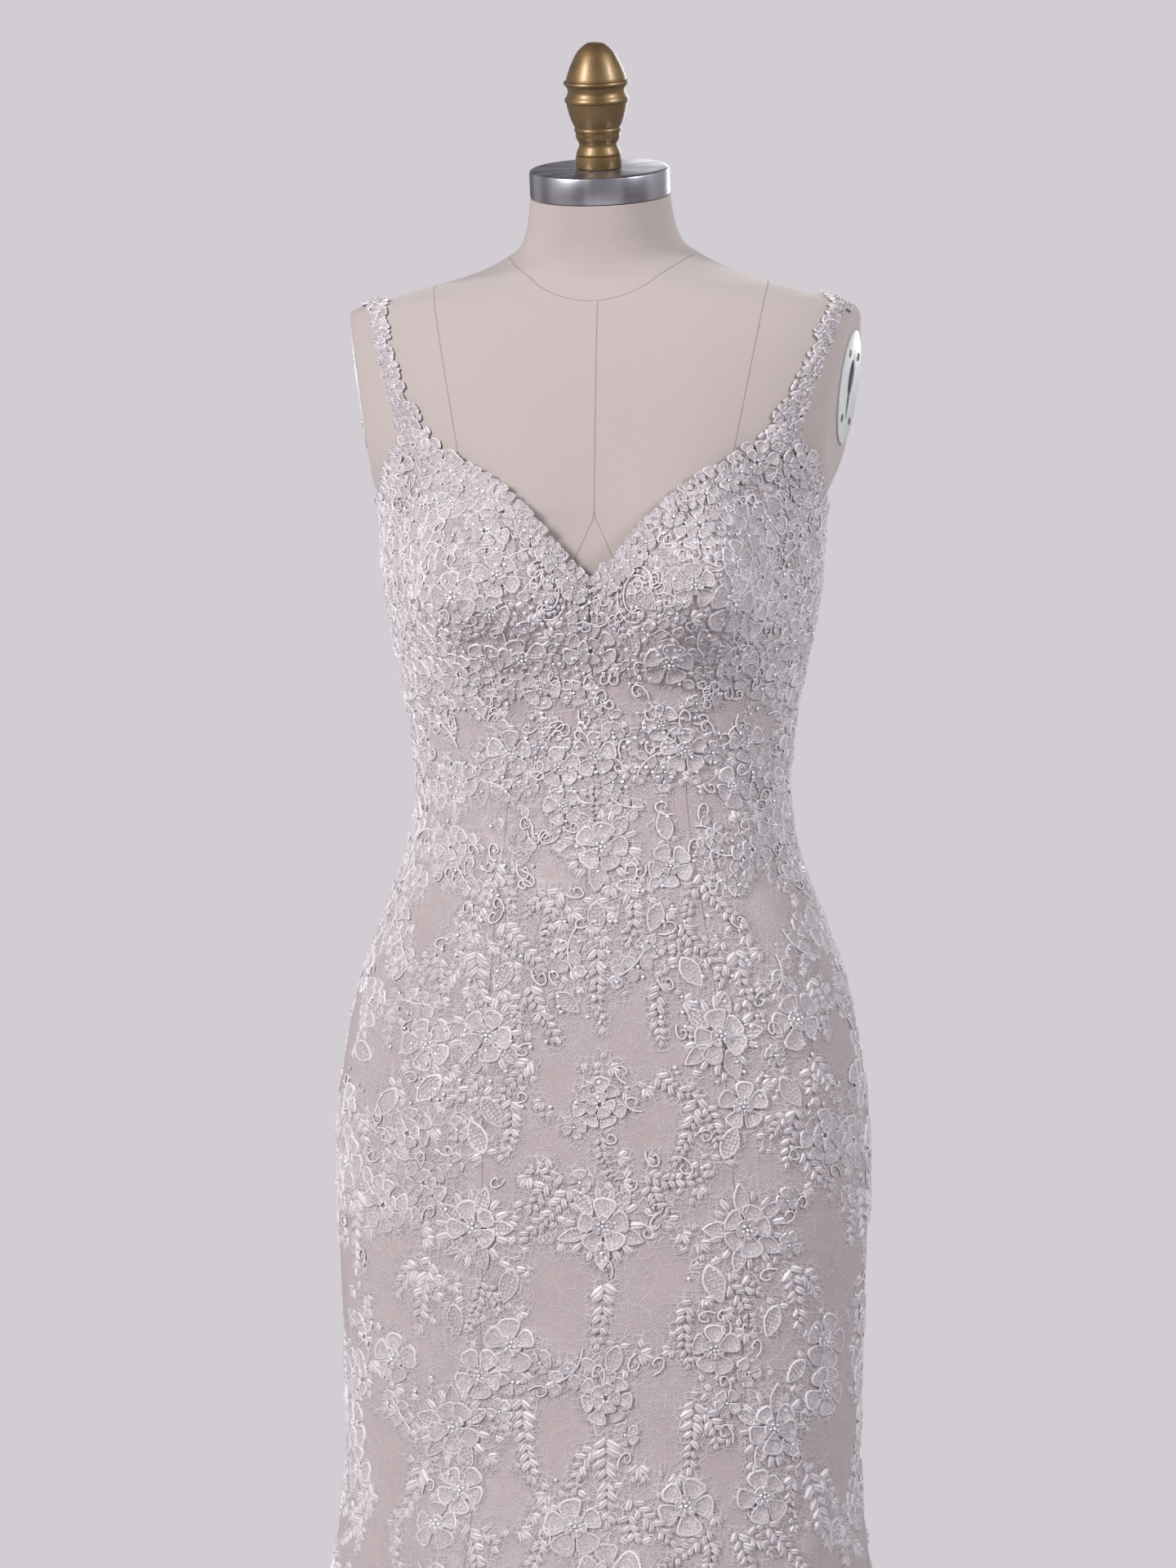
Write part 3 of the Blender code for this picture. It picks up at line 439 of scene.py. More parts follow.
def riding(name, data):
    piece = in_scene(name, data)
    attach(piece, "root")
    return piece


def mesh_object(name, mesh, finish=None, smooth=True):
    """A piece of that name from a bmesh, which is used up."""
    data = bpy.data.meshes.new(name)
    mesh.to_mesh(data)
    mesh.free()
    if finish:
        data.materials.append(finish.material)
    if smooth:
        data.shade_smooth()
    return riding(name, data)


def vertex_rows(data):
    rows = np.empty(len(data.vertices) * 3)
    data.vertices.foreach_get("co", rows)
    return rows.reshape(-1, 3)


def set_rows(data, rows):
    data.vertices.foreach_set("co", np.ascontiguousarray(rows, dtype=float).ravel())
    data.update()


def add_share(data, name, values):
    """A number for each vertex, which materials read by name."""
    layer = data.attributes.new(name, "FLOAT", "POINT")
    layer.data.foreach_set("value", np.ascontiguousarray(values, dtype=float))


def add_vector(data, name, values):
    layer = data.attributes.new(name, "FLOAT_VECTOR", "POINT")
    layer.data.foreach_set("vector", np.ascontiguousarray(values, dtype=float).ravel())


def add_grain(data, across, along):
    """Where each vertex lies across and along its piece of cloth, in millimetres, for the net and weave."""
    add_vector(data, "grain", np.stack([across, along, 0 * across], axis=-1))


def level_heights(rings, levels):
    steps, heights = zip(*levels)
    return np.interp(rings, steps, heights)


def above_neck_seam(angle, z):
    """How much higher than the neck seam's level points of the figure are."""
    x, y, height = figure_point(angle, z).T
    front, back = NECK_SEAM_DIP_Z + NECK_SEAM_CURVE * x**2, NECK_SEAM_SIDE_Z + NECK_SEAM_SLANT * y
    return height - np.where(y < 0, front, back)


def from_neck_seam(angle, z, step=0.0008):
    """How far points of the figure lie above the neck seam, along the linen."""
    slopes = []
    for turn, rise in ((step * 12, 0), (0, step)):
        span = lengths(figure_point(angle + turn, z + rise) - figure_point(angle - turn, z - rise))[:, 0]
        change = above_neck_seam(angle + turn, z + rise) - above_neck_seam(angle - turn, z - rise)
        slopes.append(change / np.maximum(span, 1e-6))
    return above_neck_seam(angle, z) / np.maximum(np.hypot(*slopes), 0.15)


linen = Finish("form_linen", (0.60, 0.525, 0.505), 0.9, Sheen_Weight=0.25, Sheen_Roughness=0.5)
warp, weft = (linen.grain(1.0, 1.0, stretch=threads)["Height"]
              for threads in ((1400, 1400, 260), (260, 260, 1400)))
threads = linen.plus(warp, weft)
stitched = None
for seam in ("seam_centre", "seam_bust", "seam_side", "seam_neck"):
    groove = linen.ramp(linen.size(linen.share(seam)), 0.0, 0.0006)
    stitched = groove if stitched is None else linen.times(stitched, groove)
linen_tone = linen.grain(6.0, 3.0, (0.385, 0.331, 0.319), (0.424, 0.368, 0.354))["Color"]
linen_tone = linen.mix(linen.times(threads, 0.14), linen_tone, (0.287, 0.245, 0.233))
linen.color(linen.mix(stitched, (0.262, 0.217, 0.204), linen_tone))
linen.bump(linen.plus(linen.times(threads, 0.35), stitched), 0.0005, 0.6)

torso_mesh = bmesh.new()
bmesh.ops.create_cone(
    torso_mesh, cap_ends=True, segments=LINEN_COLUMNS, radius1=1, radius2=1, depth=1,
    matrix=Matrix.Translation((0, 0, 0.5)),
)
upright = [e for e in torso_mesh.edges if abs(e.verts[0].co.z - e.verts[1].co.z) > 0.5]
bmesh.ops.subdivide_edges(torso_mesh, edges=upright, cuts=LINEN_LEVELS[-1][0] - 1, use_grid_fill=True)
linen_body = mesh_object("linen_body", torso_mesh, linen)
flat = vertex_rows(linen_body.data)
around = np.arctan2(flat[:, 0], -flat[:, 1])
height = level_heights(np.round(flat[:, 2] * LINEN_LEVELS[-1][0]), LINEN_LEVELS)
covered = np.clip((COVERED_TOP_Z - height) / 0.012, 0, 1)
skin = lifted(around, height, FORM_LIFT + (FORM_LIFT_COVERED - FORM_LIFT) * covered)
eased = weights = 0.0
for offset in np.linspace(-NECK_EASE, NECK_EASE, 9):
    weight = 1 - 0.8 * abs(offset) / NECK_EASE
    eased += weight * lifted(around, height + offset, FORM_LIFT + 0 * height)
    weights += weight
near_foot = np.clip((1.40 - np.abs(around)) / 0.5, 0, 1) * np.exp(-(((height - NECK_FOOT_Z) / 0.020) ** 4))
skin += near_foot[:, None] * (eased / weights - skin)
for pleat_z, pleat_y, depth in SHOULDER_PLEATS:
    near = np.exp(-(((skin[:, 1] - pleat_y) / 0.0032) ** 2) - ((skin[:, 2] - pleat_z) / 0.011) ** 2)
    skin[:, 0] -= np.sign(skin[:, 0]) * near * 0.0009 * depth * (np.abs(skin[:, 0]) > 0.12)
set_rows(linen_body.data, skin)
linen_body.data.set_sharp_from_angle(angle=math.radians(50))
fork = 0.44 * np.clip(FORK_Z - skin[:, 2], 0, None)  # the centre seam's foot spreads in two
neck_seam = from_neck_seam(around, height)
front = skin[:, 1] < 0
beside = np.abs(np.hypot(skin[:, 0], skin[:, 1]) * np.sin(around - FORM_TURN))
add_share(linen_body.data, "seam_centre", np.where(front & (neck_seam > 0), 1.0, beside - fork * front))
add_share(linen_body.data, "seam_bust", beside - np.interp(skin[:, 2], *zip(*LINEN_SEAM_X)))
add_share(linen_body.data, "seam_side", np.where(np.abs(skin[:, 0]) > 0.09, skin[:, 1], 1.0))
add_share(linen_body.data, "seam_neck", neck_seam)
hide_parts("torso")

# -------------------------------------------------------------------------------------- neck cap and finial
# A turned steel cap with a fine brushed rim closes the slanted neck, with bands of painted reflection in its
# colour. A turned wooden finial painted old gold is screwed to it.

CAP_RADIUS = 0.0480
CAP_HEIGHT = 0.0187
SEAM_GAP = 0.0003
NECK_AXIS = Vector((0, -math.sin(NECK_TILT), math.cos(NECK_TILT)))
CAP_PROFILE = (  # radius, height
    (0, CAP_HEIGHT), (0.0150, CAP_HEIGHT), (0.0445, CAP_HEIGHT), (0.0466, 0.0184), (0.0476, 0.0177),
    (CAP_RADIUS, 0.0166), (CAP_RADIUS, 0.0014), (0.0477, 0.0004), (0.0470, 0.0), (0, 0),
)
FINIAL_PROFILE = (  # radius, height, from the crown down
    (0.0000, 0.0845), (0.0050, 0.0844), (0.0066, 0.0837), (0.0094, 0.0816), (0.0120, 0.0791),
    (0.0142, 0.0758), (0.0160, 0.0722), (0.0176, 0.0688), (0.0190, 0.0652), (0.0201, 0.0618),
    (0.0206, 0.0600), (0.0206, 0.0594), (0.0219, 0.0590), (0.0224, 0.0582), (0.0223, 0.0572),
    (0.0215, 0.0564), (0.0202, 0.0550), (0.0197, 0.0533), (0.0196, 0.0520), (0.0199, 0.0505),
    (0.0207, 0.0488), (0.0217, 0.0474), (0.0220, 0.0462), (0.0219, 0.0453), (0.0211, 0.0446),
    (0.0208, 0.0438), (0.0205, 0.0418), (0.0199, 0.0392), (0.0188, 0.0352), (0.0176, 0.0318),
    (0.0165, 0.0293), (0.0157, 0.0279), (0.0157, 0.0270), (0.0162, 0.0262), (0.0160, 0.0252),
    (0.0154, 0.0245), (0.0152, 0.0228), (0.0152, 0.0208), (0.0144, 0.0192), (0.0134, 0.0176),
    (0.0131, 0.0160), (0.0133, 0.0145), (0.0138, 0.0132), (0.0146, 0.0118), (0.0151, 0.0105),
    (0.0152, 0.0095), (0.0146, 0.0089), (0.0156, 0.0083), (0.0157, 0.0074), (0.0157, 0.0012), (0.0152, 0.0),
    (0.0, 0.0),
)


def turned(profile, steps):
    """A solid of revolution round Z from its profile, top to bottom."""
    mesh = bmesh.new()
    verts = [mesh.verts.new((radius, 0, height)) for radius, height in profile]
    edges = [mesh.edges.new(pair) for pair in zip(verts, verts[1:])]
    bmesh.ops.spin(mesh, geom=verts + edges, cent=(0, 0, 0), axis=(0, 0, 1), angle=2 * math.pi, steps=steps,
                   use_merge=True)
    bmesh.ops.remove_doubles(mesh, verts=mesh.verts[:], dist=1e-6)
    bmesh.ops.recalc_face_normals(mesh, faces=mesh.faces[:])
    if mesh.calc_volume(signed=True) < 0:
        bmesh.ops.reverse_faces(mesh, faces=mesh.faces[:])
    return mesh


def on_neck(mesh, above):
    """Seats a turned mesh above the neck's top, square to the slanted neck."""
    seat = Vector((0, NECK_LEAN_Y, NECK_TOP_Z)) + NECK_AXIS * above
    seated = Matrix.Translation(seat) @ Matrix.Rotation(NECK_TILT, 4, "X")
    bmesh.ops.transform(mesh, matrix=seated, verts=mesh.verts[:])
    return mesh


def neck_mapping(finish):
    """Object coordinates turned to the neck's own axes, with the origin on its axis."""
    moved = finish.node("Mapping", {"vector_type": "TEXTURE"}, Vector=finish.where(),
                        Location=(0, NECK_LEAN_Y, NECK_TOP_Z), Rotation=(NECK_TILT, 0, 0))
    return moved.outputs[0]


steel = Finish("brushed_steel", (0.56, 0.56, 0.60), 0.30, Metallic=1.0)
x, y, z = steel.parts(neck_mapping(steel))
from_axis = steel.math("SQRT", steel.plus(steel.times(x, x), steel.times(y, y)))
rings = steel.node("TexNoise", {"noise_dimensions": "2D"}, Scale=1.0, Detail=3.0,
                   Vector=steel.joined(steel.times(from_axis, 2600), steel.times(z, 2200))).outputs["Fac"]
steel.roughness(steel.plus(0.25, steel.times(rings, 0.20)))
# Lighter and darker bands round the neck's axis are painted reflections of the soft boxes, laid into the
# steel's colour; the rings are its real brushed grain.
brushed = steel.ramp(steel.node("TexNoise", {"noise_dimensions": "1D"}, Scale=1.0, Detail=0.6,
                                W=steel.times(steel.math("ARCTAN2", x, y), 2.2)).outputs["Fac"], 0.38, 0.60)
steel_tone_with_painted_reflections = steel.mix(brushed, (0.23, 0.22, 0.25), (0.56, 0.55, 0.59))
steel.color(steel.mix(steel.times(rings, 0.5), steel_tone_with_painted_reflections, (0.36, 0.35, 0.39)))
steel.bump(rings, 0.00012, 0.35)

neck_cap = mesh_object("steel_neck_cap", on_neck(turned(CAP_PROFILE, 96), SEAM_GAP), steel)
neck_cap.data.set_sharp_from_angle(angle=math.radians(35))
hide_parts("neck_cap")

gilt = Finish("old_gold_paint", (0.30, 0.19, 0.075), 0.40, Metallic=0.75, Coat_Weight=0.30,
              Coat_Roughness=0.24)
lathe = gilt.node("TexNoise", {"noise_dimensions": "1D"}, Scale=1.0, Detail=2.0,
                  W=gilt.times(gilt.parts(neck_mapping(gilt))["Z"], 1500)).outputs["Fac"]
gilt.grained(90.0, 4.0, (0.122, 0.074, 0.031), (0.236, 0.154, 0.068), smoothest=0.35, spread=0.24)
gilt.bump(gilt.plus(gilt.times(lathe, 0.6), gilt.noise(900.0, 2.0)), 0.0002, 0.35)

finial = mesh_object("gold_finial", on_neck(turned(FINIAL_PROFILE, 80), CAP_HEIGHT + 2 * SEAM_GAP), gilt)
finial.data.set_sharp_from_angle(angle=math.radians(38))
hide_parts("finial")

# ----------------------------------------------------------------------------------------------- arm plates
# An oval enamelled steel plate covers each armhole. It has a keyhole for an arm, cut right through, over a
# near-black disc that is painted shade for the hollow behind it, and four countersunk screws.

PLATE_HALF_WIDTH = 0.027
PLATE_HALF_HEIGHT = 0.039
PLATE_THICKNESS = 0.0012
PLATE_Z = 1.388
SLOT_WIDE = (0.0075, 0.013)  # half width and half height of the keyhole's upper half
SLOT_NARROW = (0.0036, 0.015)
HOLE_SHADE = (0.0096, 0.024)
SCREW_RADIUS = 0.0029
SCREW_STAND = 0.0005  # of a screw's head over the plate
THROUGH = (-0.01, 0.01)  # a cutter's heights, from under the plate to over it
BOTH_SIDES = (("left", 1), ("right", -1))
SCREWS = ((-0.013, 0.022), (0.013, 0.022), (-0.012, -0.022), (0.012, -0.022))

plate_enamel = Finish("plate_enamel", (0.60, 0.63, 0.62), 0.38, Coat_Weight=0.3, Coat_Roughness=0.25)
plate_enamel.grained(120.0, 4.0, (0.52, 0.555, 0.545), (0.66, 0.685, 0.68), smoothest=0.28, spread=0.25)
plate_enamel.bump(plate_enamel.noise(700.0, 2.0), 0.0001, 0.3)
# Near-black: painted shade for the hollow seen through the keyhole.
hole_shade_black = Finish("hole_shade_black", (0.012, 0.012, 0.013), 0.55)
hole_shade_black.grained(300.0, 2.0, (0.008, 0.008, 0.009), (0.03, 0.03, 0.032))
screw_metal = Finish("screw_metal", (0.30, 0.30, 0.31), 0.35, Metallic=1.0)
screw_metal.grained(500.0, 2.0, (0.20, 0.20, 0.21), (0.42, 0.42, 0.43))


def disc(segments, half_width, half_height, low, high, centre=(0, 0)):
    """An oval disc, its faces at heights low and high."""
    mesh = bmesh.new()
    bmesh.ops.create_cone(mesh, cap_ends=True, segments=segments, radius1=1, radius2=1, depth=high - low)
    bmesh.ops.scale(mesh, vec=(half_width, half_height, 1), verts=mesh.verts[:])
    bmesh.ops.translate(mesh, vec=(*centre, (low + high) / 2), verts=mesh.verts[:])
    return mesh


def on_arm_plane(mesh, side):
    """Takes a mesh from its own flat plane, +Y up, to the armhole's plane."""
    normal = Vector((
        side * math.cos(ARM_PLANE_FORWARD), -math.sin(ARM_PLANE_FORWARD), -math.tan(ARM_PLANE_DOWN)
    )).normalized()
    seat = Vector(figure_point(side * math.radians(90), PLATE_Z).tolist())
    up = (Vector((0, 0, 1)) - normal * normal.z).normalized()
    axes = Matrix((up.cross(normal), up, normal)).transposed().to_4x4()
    base = Matrix.Translation(seat + normal * (FORM_LIFT + SEAM_GAP))
    bmesh.ops.transform(mesh, matrix=base @ axes, verts=mesh.verts[:])
    return mesh


def cut_through(solid, cutter):
    """The solid less the cutter, both bmeshes, which are used up."""
    whole = mesh_object("whole", solid, smooth=False)
    tool = mesh_object("tool", cutter, smooth=False)
    cut = whole.modifiers.new("cut", "BOOLEAN")
    cut.operation, cut.solver, cut.object = "DIFFERENCE", "EXACT", tool
    bpy.context.view_layer.update()
    made = bmesh.new()
    made.from_object(whole, bpy.context.evaluated_depsgraph_get())
    for used in (whole, tool):
        bpy.data.objects.remove(used)
    return made


def one_mesh(parts):
    """One bmesh of several, which are used up."""
    whole = bmesh.new()
    for part in parts:
        data = bpy.data.meshes.new("part")
        part.to_mesh(data)
        part.free()
        whole.from_mesh(data)
        bpy.data.meshes.remove(data)
    return whole


def eased_top(mesh, above, offset):
    """Rounds a disc's upper rim, the edges over a height."""
    rim = [e for e in mesh.edges if all(v.co.z > above for v in e.verts)]
    bmesh.ops.bevel(mesh, geom=rim, offset=offset, segments=2, affect="EDGES", profile=0.5, material=-1)
    return mesh


def slotted_screw(x, y):
    """A screw's head on the plate, its slit turned its own way."""
    top = PLATE_THICKNESS + SCREW_STAND
    head = disc(20, SCREW_RADIUS, SCREW_RADIUS, PLATE_THICKNESS - 0.0002, top, (x, y))
    slit = bmesh.new()
    bmesh.ops.create_cube(slit, size=1.0)
    bmesh.ops.scale(slit, vec=(0.008, 0.0007, 0.0006), verts=slit.verts[:])
    bmesh.ops.rotate(slit, matrix=Matrix.Rotation(x * 90 + y * 31, 3, "Z"), verts=slit.verts[:])
    bmesh.ops.translate(slit, vec=(x, y, top), verts=slit.verts[:])
    return cut_through(eased_top(head, PLATE_THICKNESS, 0.0004), slit)


for word, side in BOTH_SIDES:
    oval = disc(96, PLATE_HALF_WIDTH, PLATE_HALF_HEIGHT, 0, PLATE_THICKNESS)
    oval = eased_top(oval, PLATE_THICKNESS / 2, 0.0005)
    for slot, middle in ((SLOT_WIDE, 0.006), (SLOT_NARROW, -0.008)):
        oval = cut_through(oval, disc(24, *slot, *THROUGH, (0, middle)))
    plate = mesh_object(f"arm_plate_{word}_enamel", on_arm_plane(oval, side), plate_enamel)
    plate.data.set_sharp_from_angle(angle=math.radians(35))
    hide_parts(f"arm_plate_{word}")

    # A thin disc under the keyhole, painted as the dark shade of the hollow behind the plate.
    socket = disc(32, *HOLE_SHADE, -0.0001, 0.0002)
    backing = mesh_object(f"arm_hole_shade_{word}", on_arm_plane(socket, side), hole_shade_black)

    screws = one_mesh(slotted_screw(x, y) for x, y in SCREWS)
    heads = mesh_object(f"arm_screws_{word}", on_arm_plane(screws, side), screw_metal, smooth=False)

# ---------------------------------------------------------------------------------------------- floor stand
# A cast cross of four feet in black stove enamel carries a steel pole and the flange that the body is
# bolted to.

cast_iron = Finish("black_stove_enamel", (0.022, 0.022, 0.024), 0.48, Coat_Weight=0.15, Coat_Roughness=0.4)
cast_grain = cast_iron.grained(420.0, 4.0, (0.014, 0.014, 0.015), (0.040, 0.040, 0.042),
                               smoothest=0.38, spread=0.25)
cast_iron.bump(cast_grain, 0.0006, 0.5)
pole_steel = Finish("pole_steel", (0.50, 0.50, 0.53), 0.28, Metallic=1.0)
pole_steel.grained(1.0, 3.0, (0.40, 0.40, 0.43), (0.60, 0.60, 0.63), (900, 900, 12),
                   smoothest=0.18, spread=0.25)
for node, finish in (("stand_base", cast_iron), ("stand_collar", cast_iron), ("stand_flange", cast_iron),
                     ("stand_pole", pole_steel)):
    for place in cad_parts[node].material_slots:
        place.material = finish.material

# ----------------------------------------------------------------------------------------- body of the gown
# Seven long panels of blush satin under fine net, cut to the figure and sewn from the bust to the flared
# hem: a centre front, side fronts, side backs and two backs. Each is a thin wall, its seams 0.3 mm open.

WALL = 0.0015
PANEL_LIFT = 0.0005
CUP_LIFT = 0.0016
GOWN_TURN = ((0.0, 8.0), (0.72, 8.0), (1.05, 4.5), (1.20, 3.0), (1.45, 3.0))  # height, degrees
CUP_SEAM = ((0, 1.203), (15, 1.198), (35, 1.190), (50, 1.194), (60, 1.206), (70, 1.242), (77, 1.282),
            (82, 1.302), (90, 1.305))
NECKLINE = ((0, 1.247), (8, 1.260), (19, 1.289), (31, 1.313), (43, 1.328), (46, 1.334), (66, 1.334),
            (69, 1.322), (74, 1.311), (82, 1.3055))
BACK_EDGE = ((90, 1.305), (104, 1.300), (116, 1.312), (118, 1.315), (136, 1.315), (142, 1.298), (155, 1.246),
             (168, 1.196), (180, 1.170))
PRINCESS_SEAM = ((0, 39), (0.72, 39), (0.90, 38), (1.11, 34), (1.20, 37))  # height, degrees
SIDE_SEAM = 90
BACK_SEAM = 142
LEVELS = ((0, HEM_Z), (68, 0.600), (144, 1.147))  # ring, height
UPPER_RINGS = 16

# Creases of the cloth, each a soft ridge: angle, height, half length, half width, depth, slope and bend.
CREASE_COLUMNS = ("angle", "z", "half_length", "half_width", "depth", "slope", "bend")
CREASES = (
    # drag lines where the satin is held in at the waist
    (62, 1.128, 0.040, 0.0050, 0.0014, 8, 2.0), (-66, 1.120, 0.048, 0.0056, 0.0016, -6, -1.5),
    (74, 1.102, 0.034, 0.0045, 0.0011, -4, 1.0), (-80, 1.099, 0.030, 0.0048, 0.0012, 9, 2.0),
    (92, 1.140, 0.045, 0.0060, 0.0015, 12, -2.0), (-97, 1.146, 0.038, 0.0052, 0.0013, -14, 1.5),
    (140, 1.118, 0.050, 0.0058, 0.0018, 7, 2.5), (-134, 1.124, 0.044, 0.0050, 0.0015, -9, -2.0),
    (155, 1.090, 0.036, 0.0050, 0.0013, -12, 1.0), (-150, 1.083, 0.052, 0.0060, 0.0017, 6, 1.5),
    # strain lines over the hip and thigh
    (58, 0.905, 0.056, 0.0125, 0.0020, 24, 1.0), (-62, 0.884, 0.066, 0.0140, 0.0022, -19, -1.0),
    (18, 0.770, 0.060, 0.0120, 0.0019, 14, 1.0), (-24, 0.742, 0.064, 0.0130, 0.0021, -22, 1.0),
    (118, 0.935, 0.052, 0.0080, 0.0016, -28, 1.5), (-112, 0.915, 0.048, 0.0070, 0.0013, 33, -1.0),
    # soft gathers that open into the flare
    (12, 0.610, 0.060, 0.0090, 0.0020, 74, 0.6), (-16, 0.625, 0.075, 0.0080, 0.0018, -80, -0.5),
    (52, 0.600, 0.080, 0.0100, 0.0022, 66, 0.7), (-48, 0.615, 0.064, 0.0085, 0.0019, -70, 0.8),
    (84, 0.630, 0.070, 0.0080, 0.0021, 81, -0.6), (-88, 0.605, 0.085, 0.0095, 0.0024, -76, 0.5),
    (124, 0.618, 0.066, 0.0090, 0.0020, 69, 0.9), (-120, 0.632, 0.078, 0.0085, 0.0022, -84, -0.7),
    (160, 0.600, 0.090, 0.0100, 0.0026, 78, 0.5), (-164, 0.622, 0.072, 0.0090, 0.0021, -73, 0.6),
)


def read_edge(edge, angle):
    """The height of an edge at an angle from the gown's centre front."""
    degrees, heights = zip(*edge)
    return np.interp(np.degrees(np.abs(wrapped(angle))), degrees, heights)


def angle_in(table, z):
    heights, degrees = zip(*table)
    return np.radians(np.interp(z, heights, degrees))


def gown_turn(z):
    return angle_in(GOWN_TURN, z)


def princess_angle(z):
    return angle_in(PRINCESS_SEAM, z)


def top_edge(angle):
    """The height of the gown's upper edge: neckline, underarm and back."""
    in_front = np.abs(wrapped(angle)) < math.radians(NECKLINE[-1][0])
    return np.where(in_front, read_edge(NECKLINE, angle), read_edge(BACK_EDGE, angle))


def crease_lift(angle, z):
    """How far the cloth stands out in its creases and small puckers."""
    lift = 0.00022 * (np.sin(31 * angle + 38 * z) * np.sin(97 * z + 9 * angle) + 1)
    for row in CREASES:
        crease = dict(zip(CREASE_COLUMNS, row))
        slope = math.radians(crease["slope"])
        sideways = wrapped(angle - math.radians(crease["angle"])) * 0.16
        upward = z - crease["z"]
        along = sideways * math.cos(slope) + upward * math.sin(slope)
        across = upward * math.cos(slope) - sideways * math.sin(slope) - crease["bend"] * along**2
        reach = np.exp(-((along / crease["half_length"]) ** 4) - (across / crease["half_width"]) ** 2)
        lift = lift + crease["depth"] * reach
    return lift


def cup_edges(angle):
    """The heights of the seam under a cup and of the neckline over it."""
    return read_edge(CUP_SEAM, angle), read_edge(NECKLINE, angle)


def cup_share(angle, z):
    """0 on the panels and up to 1 on the cups, which stand a little off the bust."""
    low, high = cup_edges(angle)
    v = (z - low) / np.maximum(high - low, 0.003)
    inward = (math.radians(81.6) - np.abs(wrapped(angle))) * 4
    return np.where((v > 0) & (inward > 0), np.minimum(1, np.minimum(0.15 + v * 3, 0.15 + inward)), 0)


def gown_face(angle, z):
    """The lift of the gown's outer face."""
    return PANEL_LIFT + (CUP_LIFT - PANEL_LIFT) * cup_share(angle, z) + WALL + crease_lift(angle, z)


def gown_point(angle, z, lift):
    return lifted(angle + gown_turn(z), z, lift)


def outward(data):
    """Turns a closed mesh's faces outward."""
    mesh = bmesh.new()
    mesh.from_mesh(data)
    bmesh.ops.recalc_face_normals(mesh, faces=mesh.faces[:])
    if mesh.calc_volume(signed=True) < 0:
        bmesh.ops.reverse_faces(mesh, faces=mesh.faces[:])
    mesh.to_mesh(data)
    mesh.free()


def cloth_wall(name, columns, rows, place, finish):
    """A closed thin wall. place(u, v, outside) gives its points for arrays of u and v from 0 to 1."""
    mesh = bmesh.new()
    bmesh.ops.create_grid(mesh, x_segments=columns, y_segments=rows, size=0.5)
    bmesh.ops.solidify(mesh, geom=mesh.faces[:], thickness=1.0)
    wall = mesh_object(name, mesh, finish)
    flat = vertex_rows(wall.data)
    u, v = flat[:, 0] + 0.5, flat[:, 1] + 0.5
    set_rows(wall.data, place(u, v, flat[:, 2] > flat[:, 2].mean()))
    outward(wall.data)
    wall.data.shade_smooth()
    wall.data.set_sharp_from_angle(angle=math.radians(60))
    return wall, u, v


def panel_heights(v, angle):
    ring = v * (LEVELS[-1][0] + UPPER_RINGS)
    share = (ring - LEVELS[-1][0]) / UPPER_RINGS
    seam = np.where(np.abs(wrapped(angle)) < math.radians(SIDE_SEAM),
                    read_edge(CUP_SEAM, angle), read_edge(BACK_EDGE, angle))
    upper = LEVELS[-1][1] + share * (seam - SEAM_GAP / 2 - LEVELS[-1][1])
    return np.where(share > 0, upper, level_heights(ring, LEVELS))


cloth_spots = []  # the satin pieces, with the angle and height of each of their points


def body_panel(name, first_seam, last_seam, columns, finish):
    """A long panel between two seams, each a function that gives its angle at a height."""

    def angle_at(u, v):
        rough = first_seam(1.0) + (last_seam(1.0) - first_seam(1.0)) * u
        z = panel_heights(v, rough)
        gap = SEAM_GAP / 2 / figure_radius(first_seam(z), z) * np.sign(last_seam(1.0) - first_seam(1.0))
        start, end = first_seam(z) + gap, last_seam(z) - gap
        return start + (end - start) * u

    def place(u, v, outside):
        angle = angle_at(u, v)
        z = panel_heights(v, angle)
        return gown_point(angle, z, PANEL_LIFT + crease_lift(angle, z) + np.where(outside, WALL, 0))

    panel, u, v = cloth_wall(name, columns, LEVELS[-1][0] + UPPER_RINGS, place, finish)
    angle = angle_at(u, v)
    z = panel_heights(v, angle)
    width = np.abs(last_seam(z) - first_seam(z)) * figure_radius(angle, z)
    add_grain(panel.data, (u - 0.5) * width * 1000, z * 1000)
    cloth_spots.append((panel, angle, z))
    return panel


def cell_threads(finish, at, cell, thick, wander):
    """Threads along the edges of cells of that size in millimetres: 1 on a thread, 0 in its mesh."""
    astray = finish.node("TexNoise", Vector=at, Scale=0.4 / cell, Detail=1.0).outputs["Color"]
    moved = {"operation": "MULTIPLY_ADD"}
    shifted = finish.node("VectorMath", moved, i0=astray, i1=(wander, wander, 0), i2=at)
    cells = finish.node("TexVoronoi", {"feature": "DISTANCE_TO_EDGE", "voronoi_dimensions": "2D"},
                        Vector=shifted.outputs[0], Scale=1 / cell, Randomness=0.9)
    return finish.ramp(cells.outputs["Distance"], thick / cell, 0.3 * thick / cell)


NET_PITCH = 2.6  # of the diamonds, in millimetres


